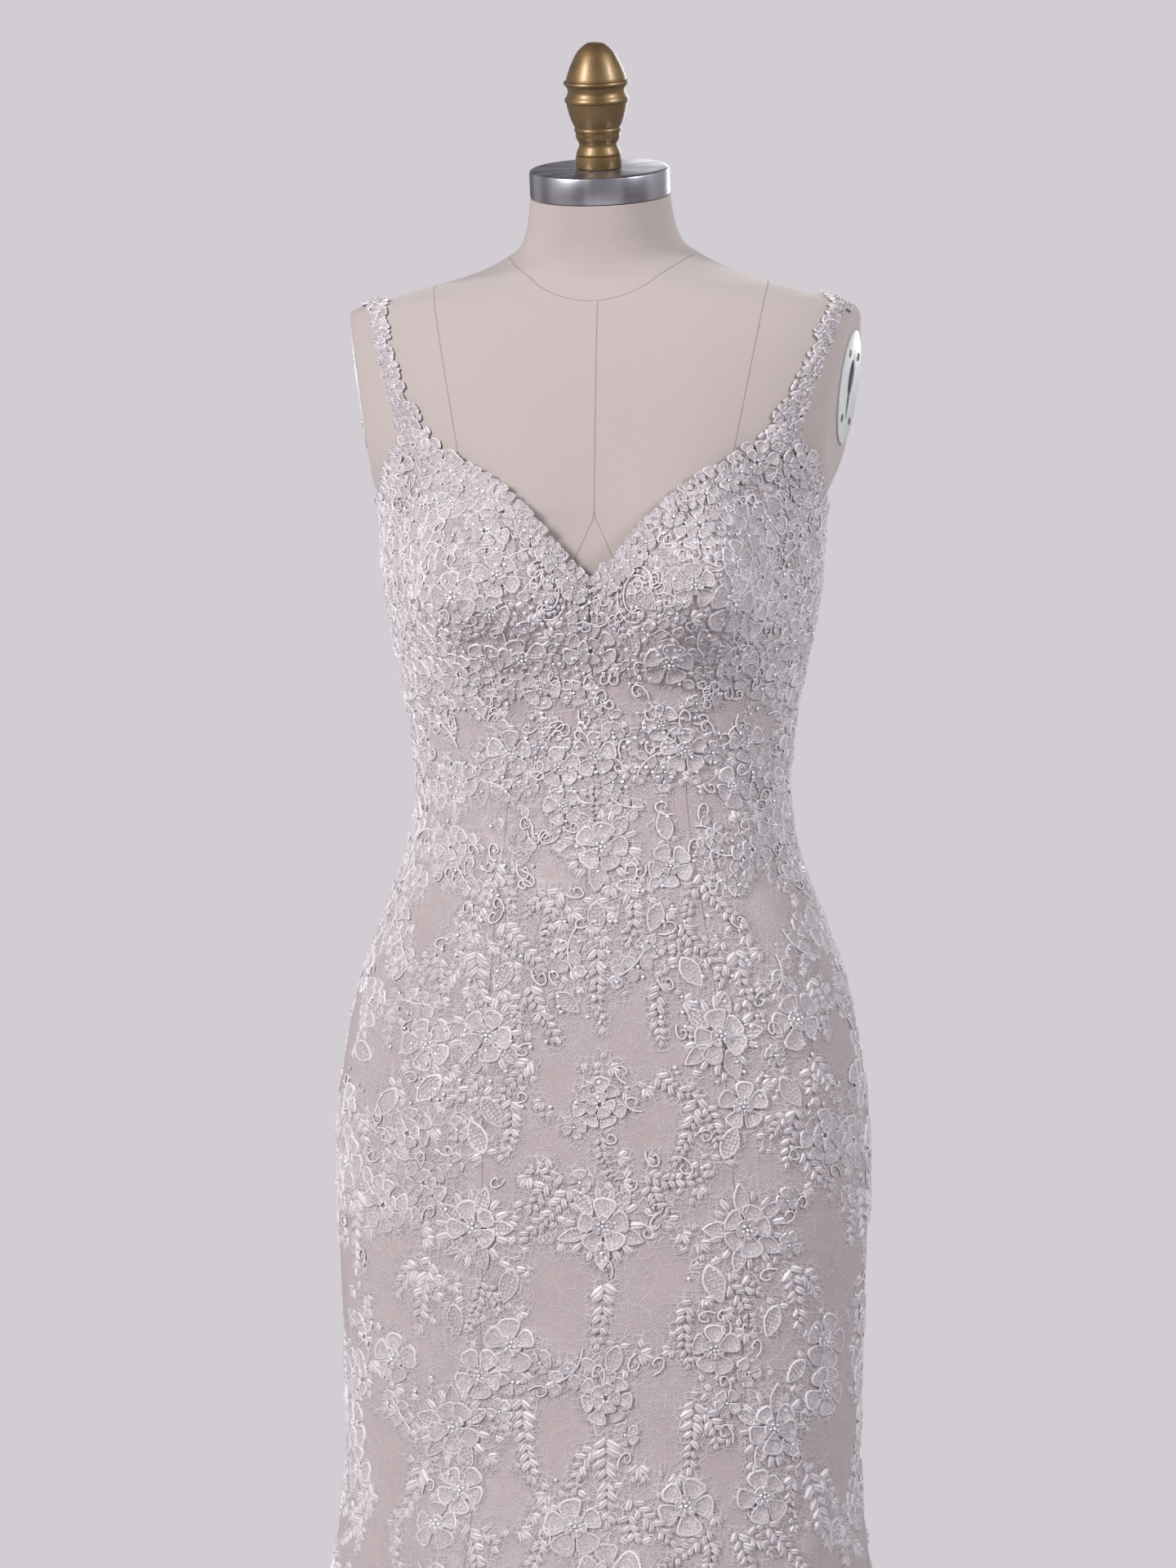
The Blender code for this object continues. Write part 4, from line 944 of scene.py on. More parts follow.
def net_over_satin():
    """Blush satin under fine diamond net with wandering threads, worked thick between the lace motifs."""
    made = Finish("blush_satin_and_net", (0.4, 0.33, 0.34), 0.5, Sheen_Weight=0.3, Sheen_Roughness=0.4)
    at = made.along("grain")
    x, y, _ = made.parts(at)
    diagonals = [made.size(made.math("SINE", made.times(made.math(way, x, y), math.pi / NET_PITCH)))
                 for way in ("ADD", "SUBTRACT")]
    diamond = made.ramp(made.math("MINIMUM", *diagonals), 0.45, 0.10)
    fading = made.ramp(made.noise(0.09, 1.0, at), 0.40, 0.58)
    strays = made.most(made.times(cell_threads(made, at, 10.5, 0.50, 9.0), 0.75),
                       made.times(cell_threads(made, at, 4.6, 0.36, 5.0), fading))
    hexes = cell_threads(made, at, 3.0, 0.40, 0.6)
    patch = made.ramp(made.noise(0.022, 1.0, at), 0.55, 0.60)
    worked = made.share("worked")
    curls = made.times(cell_threads(made, at, 4.6, 1.15, 5.0), worked)
    fine = made.times(cell_threads(made, at, 1.9, 0.5, 1.0), made.times(worked, 0.7))
    stitches = made.most(curls, fine)
    open_threads = made.most(strays, made.times(hexes, patch))
    seen = made.most(made.times(open_threads, 0.72), stitches)
    satin_tone = made.mix(made.noise(0.03, 3.0, at), (0.382, 0.312, 0.318), (0.458, 0.382, 0.388))
    netted = made.mix(made.times(diamond, 0.42), satin_tone, (0.56, 0.495, 0.51))
    netted = made.mix(made.times(worked, 0.22), netted, (0.50, 0.44, 0.465))
    made.color(made.mix(made.times(seen, 0.72), netted, (0.65, 0.605, 0.635)))
    made.roughness(made.plus(0.40, made.times(seen, 0.2)))
    raised = made.plus(made.times(open_threads, 0.3), stitches)
    made.bump(made.plus(made.times(diamond, 0.18), raised), 0.0015)
    return made


satin = net_over_satin()


def fixed(degrees):
    return lambda z: np.radians(degrees) + 0 * np.asarray(z, float)


def princess_right(z):
    return -princess_angle(z)


panels = {"front_panel": body_panel("front_panel_satin", princess_right, princess_angle, 74, satin)}
for word, side in BOTH_SIDES:
    princess = princess_angle if side > 0 else princess_right
    side_seam, back_seam = fixed(side * SIDE_SEAM), fixed(side * BACK_SEAM)
    panels[f"side_front_{word}"] = body_panel(f"side_front_{word}_satin", princess, side_seam, 46, satin)
    panels[f"side_back_{word}"] = body_panel(f"side_back_{word}_satin", side_seam, back_seam, 46, satin)
    panels[f"back_{word}"] = body_panel(f"back_{word}_satin", back_seam, fixed(side * 180), 34, satin)
for node, panel in panels.items():
    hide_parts(node)

# ----------------------------------------------------------------------------------------------------- cups
# Two moulded cups, sewn to the panels under the bust and cut to the sweetheart neckline.


def satin_cup(name, side):
    first, last = math.radians(0.2), math.radians(80.9)

    def place(u, v, outside):
        angle = first + (last - first) * u
        low, high = read_edge(CUP_SEAM, angle) + SEAM_GAP / 2, read_edge(NECKLINE, angle) - SEAM_GAP / 2
        z = low + (high - low) * v
        return gown_point(side * angle, z, gown_face(side * angle, z) - np.where(outside, 0, WALL))

    cup, u, v = cloth_wall(name, 64, 34, place, satin)
    angle = first + (last - first) * u
    low, high = cup_edges(angle)
    z = low + (high - low) * v
    across = (angle - math.radians(36)) * figure_radius(angle, z)
    add_grain(cup.data, across * 1000, z * 1000)
    cloth_spots.append((cup, side * angle, z))
    return cup


cups = {word: satin_cup(f"cup_{word}_satin", side) for word, side in BOTH_SIDES}
for word, cup in cups.items():
    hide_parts(f"cup_{word}")

# --------------------------------------------------------------------------------------------------- straps
# Narrow straps of lace on satin tape, from the neckline over the shoulder to the back edge. They widen to
# meet the cups, and the lace on them stands past the tape on both sides.

STRAP_FRONT = (46, 66)  # inner and outer edge at the neckline, degrees
STRAP_BACK = (136, 118)
STRAP_STATIONS = (  # inner x, outer x, y, z
    (0.1140, 0.1455, -0.083, 1.355), (0.1260, 0.1480, -0.073, 1.376), (0.1350, 0.1510, -0.060, 1.398),
    (0.1400, 0.1545, -0.042, 1.421), (0.1420, 0.1570, -0.022, 1.4415), (0.1520, 0.1665, -0.002, 1.449),
    (0.1490, 0.1630, 0.020, 1.4455), (0.1390, 0.1540, 0.044, 1.431), (0.1350, 0.1525, 0.066, 1.408),
    (0.1250, 0.1480, 0.084, 1.376),
)
TAPE_SHARE = 0.62  # of the strap's width; it widens to all of it at the neckline
STRAP_LIFT = 0.0001
STRAP_SETTLE = 0.0004  # how much lower it lies over the shoulder
TAPE_WALL = 0.0009


def height_above(points):
    angle = np.arctan2(points[..., 0], -points[..., 1])
    return np.hypot(points[..., 0], points[..., 1]) - figure_radius(angle, points[..., 2])


def snapped(points, lift):
    """The points of the figure's surface nearest to points by it, moved out by lift."""
    step = 0.0005
    for _ in range(10):
        here = height_above(points)
        slope = np.stack([
            (height_above(points + step * axis) - height_above(points - step * axis)) / (2 * step)
            for axis in np.eye(3)
        ], axis=-1)
        points = points - slope * (here / (slope**2).sum(axis=-1))[..., None]
    return points + slope / lengths(slope) * np.asarray(lift)[..., None]


def strap_edges(side):
    """The strap's inner and outer edge points, from the front neckline to the back edge."""
    turn = gown_turn(STRAP_STATIONS[0][3])
    spin = np.array([[np.cos(turn), np.sin(turn), 0], [-np.sin(turn), np.cos(turn), 0], [0, 0, 1]])
    edges = []
    for column in (0, 1):
        ends = []
        for edge, angles in ((NECKLINE, STRAP_FRONT), (BACK_EDGE, STRAP_BACK)):
            angle = math.radians(angles[column])
            ends.append(gown_point(side * angle, read_edge(edge, angle), 0.0))
        over = [np.array([side * row[column], row[2], row[3]]) @ spin for row in STRAP_STATIONS]
        edges.append(np.array([ends[0], *over, ends[1]]))
    return edges


def strap_point(side, along, across, lift):
    """Points of the strap for along from 0 at the neckline to 1 at the back, and across from -1 to 1."""
    edges = strap_edges(side)
    steps = np.arange(len(edges[0]))
    at = along * (len(steps) - 1)
    inner, outer = (np.stack([smooth_read(steps, e[:, i], at) for i in range(3)], axis=-1) for e in edges)
    share = (across[..., None] + 1) / 2
    return snapped(inner + (outer - inner) * share, lift - STRAP_SETTLE * np.sin(math.pi * along))


def tape_share(along):
    return TAPE_SHARE + (0.99 - TAPE_SHARE) * np.clip(1 - along / 0.14, 0, 1) ** 1.5


for word, side in BOTH_SIDES:
    strap, u, v = cloth_wall(
        f"strap_{word}_tape", 8, 90,
        lambda u, v, outside: strap_point(side, 0.002 + v * 0.996, (2 * u - 1) * tape_share(v),
                                          STRAP_LIFT + np.where(outside, TAPE_WALL, 0)),
        satin,
    )
    add_grain(strap.data, u * 16, v * 330)
    add_share(strap.data, "worked", 0 * u + 1)
    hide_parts(f"strap_{word}")

# -------------------------------------------------------------------------------- lace: its stitched shapes
# The lace is worked in corded petals, satin-stitched leaflets, dots and pearls. Each shape is a low pad,
# turned from its profile, drawn out to its outline, and laid on the gown wherever the motifs have one.


def stitched_pad(steps, profile):
    """A pad turned from its profile of reach and height: each point's reach, turn from the tip and height."""
    mesh = turned(profile, steps)
    data = bpy.data.meshes.new("pad")
    mesh.to_mesh(data)
    mesh.free()
    rows = vertex_rows(data)
    corners = np.empty(len(data.loops), dtype=np.int64)
    data.loops.foreach_get("vertex_index", corners)
    starts = np.empty(len(data.polygons), dtype=np.int64)
    data.polygons.foreach_get("loop_start", starts)
    bpy.data.meshes.remove(data)
    return {"reach": np.hypot(rows[:, 0], rows[:, 1]), "turn": np.arctan2(rows[:, 0], rows[:, 1]),
            "height": rows[:, 2], "corners": corners, "starts": starts}


def petal_outline(turn):
    """Narrow at its foot and broad toward a notched tip, with a waved edge."""
    notch = 0.13 * np.exp(-((turn / 0.30) ** 2))
    wave = 1 + 0.06 * np.cos(5 * turn + 0.4)
    return np.sin(turn) * wave * (0.62 + 0.34 * np.cos(turn)) / 0.70, 0.5 + np.cos(turn) * 0.5 * wave - notch


def leaf_outline(turn):
    """Pointed at both ends, broadest toward its foot, with a waved edge."""
    wave = (1 + 0.11 * np.cos(7 * turn)) * (0.98 - 0.2 * np.cos(turn))
    return np.sign(np.sin(turn)) * np.abs(np.sin(turn)) ** 1.9 * wave, 0.5 + 0.5 * np.cos(turn)


def oval_outline(turn):
    """Rounded, narrower toward the tip."""
    return np.sin(turn) * (0.94 - 0.14 * np.cos(turn)), 0.5 + 0.5 * np.cos(turn)


def round_outline(turn):
    return np.sin(turn), np.cos(turn)


CORDED = ((0, 0.34), (0.77, 0.38), (0.91, 1.0), (1, -0.2), (0, -0.2))
CORDED_SMALL = ((0, 0.40), (0.62, 0.44), (0.85, 1.0), (1, -0.2), (0, -0.2))
PADDED = ((0, 1.0), (0.70, 0.80), (1, -0.2), (0, -0.2))
PEARL = ((0, 1.0), (0.80, 0.80), (1.0, 0.3), (0, 0.0))
SEQUIN = ((0, 0.6), (1.0, 1.0), (1.0, 0.0), (0, 0.0))
SHAPES = {  # outline, its middle, the pad, whether its rim is corded, whether its field is full of knots
    "petal": (petal_outline, 0.5, stitched_pad(14, CORDED), 1, 0),
    "small_petal": (petal_outline, 0.5, stitched_pad(9, CORDED_SMALL), 1, 0),
    "leaf": (leaf_outline, 0.5, stitched_pad(10, CORDED_SMALL), 1, 0),
    "broad_leaf": (leaf_outline, 0.5, stitched_pad(14, CORDED), 1, 1),
    "leaflet": (oval_outline, 0.5, stitched_pad(7, PADDED), 0, 0),
    "dot": (round_outline, 0.0, stitched_pad(5, PADDED), 0, 0),
    "pearl": (round_outline, 0.0, stitched_pad(6, PEARL), 0, 0),
    "sequin": (round_outline, 0.0, stitched_pad(6, SEQUIN), 0, 0),
}


class Motif:
    """The shapes and cords of one lace motif, in millimetres on its own plane, +Y up the gown."""

    def __init__(self, turn, size, rng):
        self.heading = math.radians(turn)
        self.size = size
        self.rng = rng
        self.shapes = []
        self.cords = []

    def at(self, x, y):
        cos, sin = math.cos(self.heading) * self.size, math.sin(self.heading) * self.size
        return x * cos + y * sin, -x * sin + y * cos

    def add(self, kind, x, y, turn, half_width, length, height, raised=0.0, tilt=0.0):
        """turn is clockwise from up, in degrees. raised is how far the shape's foot stands off the cloth."""
        heading = self.heading + math.radians(turn)
        self.shapes.append((kind, *self.at(x, y), heading, half_width * self.size, length * self.size, height,
                            raised, tilt))

    def cord(self, points):
        self.cords.append([self.at(x, y) for x, y in points])

    def roomy(self):
        """The shapes that need room of their own, which pearls don't."""
        return [shape for shape in self.shapes if shape[0] != "pearl"]

    def ring(self, kind, count, reach, half_width, length, height, first=0.0, raised=0.0, uneven=0.0):
        """Shapes that point outward, reach from the motif's middle; uneven is a share of their size."""
        for k in range(count):
            wander = self.rng.uniform(-1, 1, 3) * uneven
            turn = first + 360 * (k + wander[0] * 0.8) / count
            x, y = reach * math.sin(math.radians(turn)), reach * math.cos(math.radians(turn))
            self.add(kind, x, y, turn + wander[2] * 40, half_width * (1 + wander[1]),
                     length * (1 + wander[2]), height, raised + (k % 3) * 0.22 * (uneven > 0))

    def frond(self, x, y, heading, bend, count, leaflet):
        """Paired leaflets that meet over their stem and grow smaller to the tip; angles in degrees."""
        step = leaflet * 0.58
        for k in range(count):
            share = k / count
            way = math.radians(heading + bend * share)
            x, y = x + step * math.sin(way), y + step * math.cos(way)
            for side in (-1, 1):
                reach = leaflet * (1 - 0.38 * share) * self.rng.uniform(0.86, 1.14)
                turn = heading + bend * share + side * self.rng.uniform(42, 62) * (1 - 0.2 * share)
                self.add("leaflet", x - side * 0.5, y - step * self.rng.uniform(0.1, 0.7), turn,
                         reach * self.rng.uniform(0.23, 0.29), reach, self.rng.uniform(1.6, 2.2))
        self.add("leaflet", x, y, heading + bend, leaflet * 0.2, leaflet * 0.75, 1.4)


def motif_design(draw):
    """A design from what draws its motif, to be called with a turn, a size and the random numbers."""

    def design(turn, size, rng):
        made = Motif(turn, size, rng)
        draw(made)
        return made

    return design


@motif_design
def flower(made):
    """Five broad petals, a small corolla on them, and pearls."""
    made.ring("petal", 5, 2.2, 7.2, 16.4, 1.5, uneven=0.13)
    made.ring("small_petal", 5, 0.8, 3.1, 6.8, 1.1, 36, 0.8, uneven=0.08)
    made.ring("pearl", 5, 2.9, 0.95, 0.95, 1.5, 20, 0.9)
    made.add("pearl", 0, 0, 0, 1.2, 1.2, 1.9, 0.8)


@motif_design
def rose(made):
    """Two rings of petals."""
    made.ring("petal", 7, 6.6, 5.8, 12.2, 1.5, uneven=0.17)
    made.ring("small_petal", 5, 1.0, 4.9, 10.0, 1.4, 18, 0.6, uneven=0.12)
    made.ring("pearl", 5, 2.5, 0.9, 0.9, 1.4, 0, 1.0)


@motif_design
def bloom(made):
    """A flower in a wreath of leaves filled with knots, 60 mm across."""
    made.ring("broad_leaf", 5, 9.0, 5.6, 21.0, 1.4, 36, uneven=0.12)
    for side in (-1, 1):
        made.ring("leaflet", 5, 17.0, 2.6, 10.0, 1.3, side * 13, uneven=0.10)
    made.ring("petal", 5, 2.0, 7.6, 17.4, 1.5, 0, 0.4, uneven=0.12)
    made.ring("small_petal", 5, 0.8, 3.2, 7.2, 1.2, 10, 1.1, uneven=0.08)
    made.ring("pearl", 5, 3.0, 0.95, 0.95, 1.5, 12, 1.3)
    made.add("pearl", 0, 0, 0, 1.2, 1.2, 1.9, 1.2)


@motif_design
def blossom(made):
    made.ring("small_petal", 5, 0.8, 3.7, 7.6, 1.3, uneven=0.14)
    made.add("pearl", 0, 0, 0, 1.0, 1.0, 1.6, 0.5)


@motif_design
def spray(made):
    """A fern spray, mostly with a side branch."""
    bend = made.rng.uniform(-60, 60)
    count = int(made.rng.integers(6, 9))
    made.frond(0, 0, 0, bend, count, 10.0)
    if made.rng.uniform() < 0.65:
        side = -1 if bend > 0 else 1
        made.frond(side * 3.0, 8.0, side * 48, -side * 40, count - 3, 8.8)


@motif_design
def vine(made):
    """A slender branch with corded leaves on both sides by turns, and a bud at the end."""
    bend = math.radians(made.rng.uniform(-80, 80))
    x = y = 0.0
    stem = [(x, y)]
    for k in range(5):
        heading = bend * (k + 1) / 5
        x, y = x + 5.4 * math.sin(heading), y + 5.4 * math.cos(heading)
        stem.append((x, y))
        side = 1 if k % 2 else -1
        made.add("leaf", x, y, math.degrees(heading) + side * 52, 4.5, 12.4 - 0.8 * k, 1.4)
    made.add("leaflet", x, y, math.degrees(bend), 2.8, 8.0, 1.3)
    made.cord(stem)


@motif_design
def dotted_leaf(made):
    """A broad corded leaf filled with knots, with two leaflets at its foot."""
    made.add("broad_leaf", 0, 0, made.rng.uniform(-8, 8), 6.9, 25.0, 1.4)
    for side in (-1, 1):
        made.add("leaflet", side * 1.6, 1.0, side * 100, 2.4, 8.0, 1.3)


@motif_design
def scroll(made):
    """A C of two cords with knots between them, curled at both ends. It bulges toward the centre front."""
    hand = -1 if made.heading > 0 else 1
    arc = [math.radians(10 * k - 115) for k in range(25)]
    for reach in (8.2, 12.4):
        made.cord([(hand * reach * math.cos(a), reach * math.sin(a) * 1.35) for a in arc])
    for a in arc[::2]:
        turned_by = math.degrees(math.atan2(hand * math.cos(a), math.sin(a) * 1.35))
        made.add("leaflet", hand * 9.0 * math.cos(a), 12.1 * math.sin(a), turned_by, 1.4, 3.2, 1.6, 0.6)
    for way in (-1, 1):
        made.add("dot", -hand * 5.2, way * 11.6, 0, 3.0, 3.0, 1.9)
        made.cord([(-hand * (4.2 + 3.4 * math.cos(a)), way * (11.0 + 3.4 * math.sin(a)))
                   for a in np.radians(np.arange(100, -190, -29))])


@motif_design
def sprig(made):
    for side in (-1, 0, 1):
        made.add("leaflet", 0, 0, side * made.rng.uniform(38, 56), 2.5, 9.0 - abs(side) * 1.2, 1.4)


@motif_design
def single_leaf(made):
    made.add("leaf", 0, 0, 0, 4.5, 12.0, 1.4)


@motif_design
def curl(made):
    """A hooked cord with a knot at its foot."""
    hand = made.rng.choice((-1, 1))
    made.cord([(hand * (1.2 + 0.42 * k) * math.sin(0.62 * k), (1.2 + 0.72 * k) * math.cos(0.62 * k))
               for k in range(10)])
    made.add("dot", 0, 1.2, 0, 1.3, 1.3, 1.6)


@motif_design
def seed(made):
    made.add("leaflet", 0, 0, 0, 2.0, 6.4, 1.2)


@motif_design
def sequin(made):
    made.add("sequin", 0, 0, 0, 1.25, 1.25, 0.3, made.rng.uniform(0.6, 1.6), made.rng.uniform(-0.4, 0.4))


def gown_slopes(angle, z):
    """How x and y on the gown, in metres, change the angle and height at a place."""
    step = 0.002

    def at(a, h):
        return figure_point(a + gown_turn(h), h)

    around = (at(angle + step, z) - at(angle - step, z)) / (2 * step)
    upward = (at(angle, z + step) - at(angle, z - step)) / (2 * step)
    span = lengths(around)[..., 0]
    lean = (upward * around).sum(axis=-1) / span
    rise = lengths(upward - around * (lean / span)[..., None])[..., 0]
    return np.stack([1 / span, -lean / (span * rise), 1 / rise])


PLANE = 0.001  # the motifs' planes are in millimetres


def on_gown(angle, z, slopes, x, y):
    """The angle and height of points x, y in the plane of a motif at an angle and height."""
    return angle + (x * slopes[0] + y * slopes[1]) * PLANE, z + y * slopes[2] * PLANE


# --------------------------------------------------------------------------------- lace: how it is laid out
# Patches of bare net are kept open on both halves. Round them come the motifs listed one by one, mirrored
# about the centre front, then the rest from the largest to the smallest, each where it finds room.

rng = np.random.default_rng(20)

OPEN_PATCHES = [  # on both halves: angle, height, half width and half height in metres, lean in degrees
    (11, 1.168, 0.010, 0.012, 0), (27, 1.172, 0.013, 0.009, 14), (48, 1.158, 0.015, 0.011, -12),
    (21, 1.102, 0.009, 0.014, 0), (45, 1.100, 0.011, 0.013, 20), (33, 1.092, 0.010, 0.016, 12),
    (63, 1.150, 0.008, 0.014, -10), (17, 1.068, 0.012, 0.018, 0), (57, 1.030, 0.014, 0.024, -8),
    (8, 0.957, 0.012, 0.017, 0), (15, 0.930, 0.015, 0.016, 20), (18, 0.882, 0.026, 0.022, -14),
    (70, 0.930, 0.015, 0.025, 10), (40, 0.838, 0.020, 0.040, 5), (86, 0.945, 0.017, 0.034, 0),
    (12, 0.778, 0.026, 0.040, 16), (64, 0.790, 0.022, 0.040, -10), (88, 0.785, 0.022, 0.036, 6),
    (17, 0.690, 0.022, 0.034, -12), (48, 0.745, 0.015, 0.025, 0), (68, 0.670, 0.022, 0.038, 10),
    (32, 0.655, 0.015, 0.022, 8), (100, 1.100, 0.010, 0.024, 8), (128, 1.050, 0.017, 0.031, -12),
    (160, 1.040, 0.017, 0.034, 10), (108, 0.985, 0.021, 0.036, 12), (136, 0.905, 0.023, 0.038, -10),
    (166, 0.915, 0.018, 0.040, 0), (118, 0.790, 0.024, 0.040, 10), (134, 0.722, 0.023, 0.038, -10),
    (164, 0.772, 0.022, 0.043, 6), (108, 0.668, 0.024, 0.038, -8), (156, 0.652, 0.024, 0.038, 10),
]
for row, (z, pitch) in enumerate(((0.535, 30.0), (0.425, 26.0), (0.315, 24.0), (0.205, 22.5), (0.105, 20.0))):
    for k in range(int(180 / pitch)):
        degrees = (k + (0.5 if row % 2 else 0.85)) * pitch
        if degrees < 176:
            OPEN_PATCHES.append((degrees + 3 * math.sin(5 * k + row), z + 0.010 * math.sin(3 * k + 2 * row),
                                 0.030 + 0.004 * row, 0.044 + 0.002 * row, 14 * math.sin(2 * k + row)))

BLOOMS = (  # node, angle, height, turn
    ("bloom_front_waist", 2, 1.075, 10), ("bloom_front_hip_left", 37, 0.950, 50),
    ("bloom_front_hip_right", -37, 0.950, -50), ("bloom_front_thigh_centre", 0, 0.825, 0),
    ("bloom_front_thigh_left", 41, 0.822, 20), ("bloom_front_thigh_right", -41, 0.822, -20),
    ("bloom_front_knee_left", 46, 0.690, 35), ("bloom_front_knee_right", -46, 0.690, -35),
    ("bloom_side_left", 108, 0.880, 15), ("bloom_side_right", -108, 0.880, -15),
    ("bloom_back_left", 148, 0.830, 5), ("bloom_back_right", -148, 0.830, -5),
)
CENTRE_MOTIFS = (  # down the centre front: motif, height, turn, size
    (rose, 1.206, 0, 1.0), (sprig, 1.184, 180, 1.0), (flower, 1.136, 0, 0.86), (spray, 1.118, 180, 0.6),
    (dotted_leaf, 1.040, 180, 0.95), (spray, 1.010, 180, 1.0), (rose, 0.905, 0, 0.95),
    (spray, 0.885, 180, 0.7), (spray, 0.790, 180, 1.15), (rose, 0.712, 0, 1.0), (spray, 0.690, 180, 1.2),
    (flower, 0.600, 0, 1.2), (spray, 0.580, 180, 1.4), (bloom, 0.470, 0, 1.0), (spray, 0.435, 180, 1.6),
    (flower, 0.335, 0, 1.4), (spray, 0.310, 180, 1.7), (bloom, 0.190, 0, 1.1), (spray, 0.150, 180, 1.5),
)
HAND_SET = (  # on both halves: motif, angle, height, turn, size
    (scroll, 15, 1.243, 12, 1.1), (rose, 29, 1.281, 0, 0.95), (flower, 52, 1.290, 20, 1.0),
    (flower, 38, 1.240, 10, 1.10), (rose, 62, 1.242, 30, 1.05), (flower, 24, 1.198, 12, 0.98),
    (rose, 48, 1.194, 5, 1.0), (flower, 34, 1.140, 0, 0.95), (rose, 50, 1.328, 20, 0.84),
    (flower, 52, 1.118, 30, 0.84), (rose, 76, 1.186, 0, 0.92), (flower, 80, 1.096, 10, 0.90),
    (spray, 12, 1.050, 158, 0.95), (spray, 36, 1.062, 168, 0.95), (rose, 56, 1.070, 0, 0.86),
    (dotted_leaf, 28, 1.000, 150, 1.0), (spray, 42, 1.010, 175, 1.1), (spray, 22, 0.985, 195, 1.0),
    (dotted_leaf, 50, 0.925, 140, 1.05), (spray, 64, 0.985, 160, 1.0), (spray, 30, 0.912, 190, 1.0),
    (rose, 60, 0.880, 0, 1.0), (spray, 12, 0.862, 115, 0.9), (dotted_leaf, 30, 0.800, 165, 1.1),
    (spray, 52, 0.800, 165, 1.2), (spray, 74, 0.850, 170, 1.15), (flower, 30, 0.745, 0, 1.0),
    (dotted_leaf, 74, 0.740, 170, 1.1), (spray, 26, 0.715, 185, 1.1), (rose, 80, 0.715, 20, 1.05),
    (spray, 54, 0.665, 165, 1.2), (dotted_leaf, 36, 0.868, 20, 1.0), (dotted_leaf, 47, 0.775, 200, 1.0),
    (rose, 62, 1.327, 50, 0.84), (blossom, 69, 1.319, 10, 1.1), (blossom, 46, 1.322, 30, 1.0),
    (rose, 120, 1.250, 0, 0.90), (flower, 150, 1.180, 0, 0.90), (rose, 118, 1.120, 0, 0.95),
    (spray, 148, 1.090, 165, 1.0), (rose, 148, 0.975, 10, 1.0), (spray, 128, 0.970, 160, 1.1),
    (spray, 150, 0.785, 170, 1.2), (rose, 122, 0.725, 0, 1.05),
)
SCATTER_COLUMNS = ("motif", "tries", "low", "high", "smallest", "largest", "packing", "turn", "spread")
SCATTER = (
    # bust and waist: dense
    (flower, 700, 1.045, 1.325, 0.74, 0.90, 0.66, 0, 180),
    (rose, 500, 1.045, 1.325, 0.74, 0.92, 0.66, 0, 180),
    (vine, 900, 1.045, 1.325, 0.80, 1.00, 0.64, 120, 180),
    (dotted_leaf, 600, 1.045, 1.325, 0.7, 0.9, 0.66, 0, 180),
    (blossom, 1500, 1.045, 1.330, 0.85, 1.10, 0.66, 0, 180),
    (curl, 1300, 1.045, 1.330, 0.8, 1.2, 0.8, 0, 180), (sprig, 1200, 1.045, 1.330, 0.85, 1.1, 0.66, 0, 180),
    (single_leaf, 1400, 1.045, 1.330, 0.75, 0.95, 0.66, 0, 180),
    # hip to knee: sprays that hang, dense about the flowers
    (flower, 800, 0.620, 1.045, 0.95, 1.15, 0.68, 0, 180),
    (rose, 600, 0.620, 1.045, 0.9, 1.1, 0.70, 0, 180),
    (spray, 3000, 0.620, 1.045, 0.85, 1.10, 0.62, 175, 55),
    (vine, 1400, 0.620, 1.045, 0.95, 1.15, 0.68, 170, 70),
    (dotted_leaf, 900, 0.620, 1.045, 0.85, 1.1, 0.68, 170, 60),
    (blossom, 1600, 0.620, 1.045, 1.0, 1.25, 0.70, 0, 180),
    (curl, 500, 0.620, 1.045, 0.9, 1.2, 0.8, 0, 180), (sprig, 1600, 0.620, 1.045, 0.9, 1.15, 0.70, 170, 70),
    # flare: larger and sparser
    (bloom, 300, 0.060, 0.600, 1.15, 1.35, 0.80, 0, 180),
    (flower, 500, 0.050, 0.620, 1.35, 1.60, 0.80, 0, 180),
    (spray, 2200, 0.070, 0.620, 1.30, 1.75, 0.70, 175, 45),
    (vine, 600, 0.050, 0.620, 1.4, 1.8, 0.78, 170, 70),
    (blossom, 260, 0.040, 0.620, 1.5, 1.8, 0.84, 0, 180),
    (sprig, 220, 0.030, 0.620, 1.5, 1.8, 0.84, 170, 80),
)
FILL = (  # single leaflets between the motifs
    (seed, 3200, 1.190, 1.330, 0.8, 1.1, 0.68, 0, 180), (seed, 900, 1.045, 1.190, 0.8, 1.1, 0.70, 0, 180),
    (seed, 2600, 0.620, 1.045, 0.9, 1.2, 0.74, 160, 90),
)
SEQUINS = (
    (sequin, 1500, 1.110, 1.330, 0.85, 1.15, 0.7, 0, 180),
    (sequin, 620, 0.900, 1.110, 0.85, 1.15, 0.7, 0, 180),
    (sequin, 160, 0.640, 0.900, 0.85, 1.15, 0.7, 0, 180),
)
PLACKET_CLEAR = 0.010  # the lace keeps this far from the centre back
PLACKET_FOOT_Z = 0.89  # down to here
HEM_CLEAR = 0.012
LACE_TOP_Z = 1.33
NEIGHBOURHOOD = 0.12  # farther apart than this no two motifs touch
MOST_SHAPES = 60000  # that a layout has room for


def shape_reach(half_width, length):
    """How far round its middle a shape takes up room."""
    return 0.25 * length + 0.5 * half_width


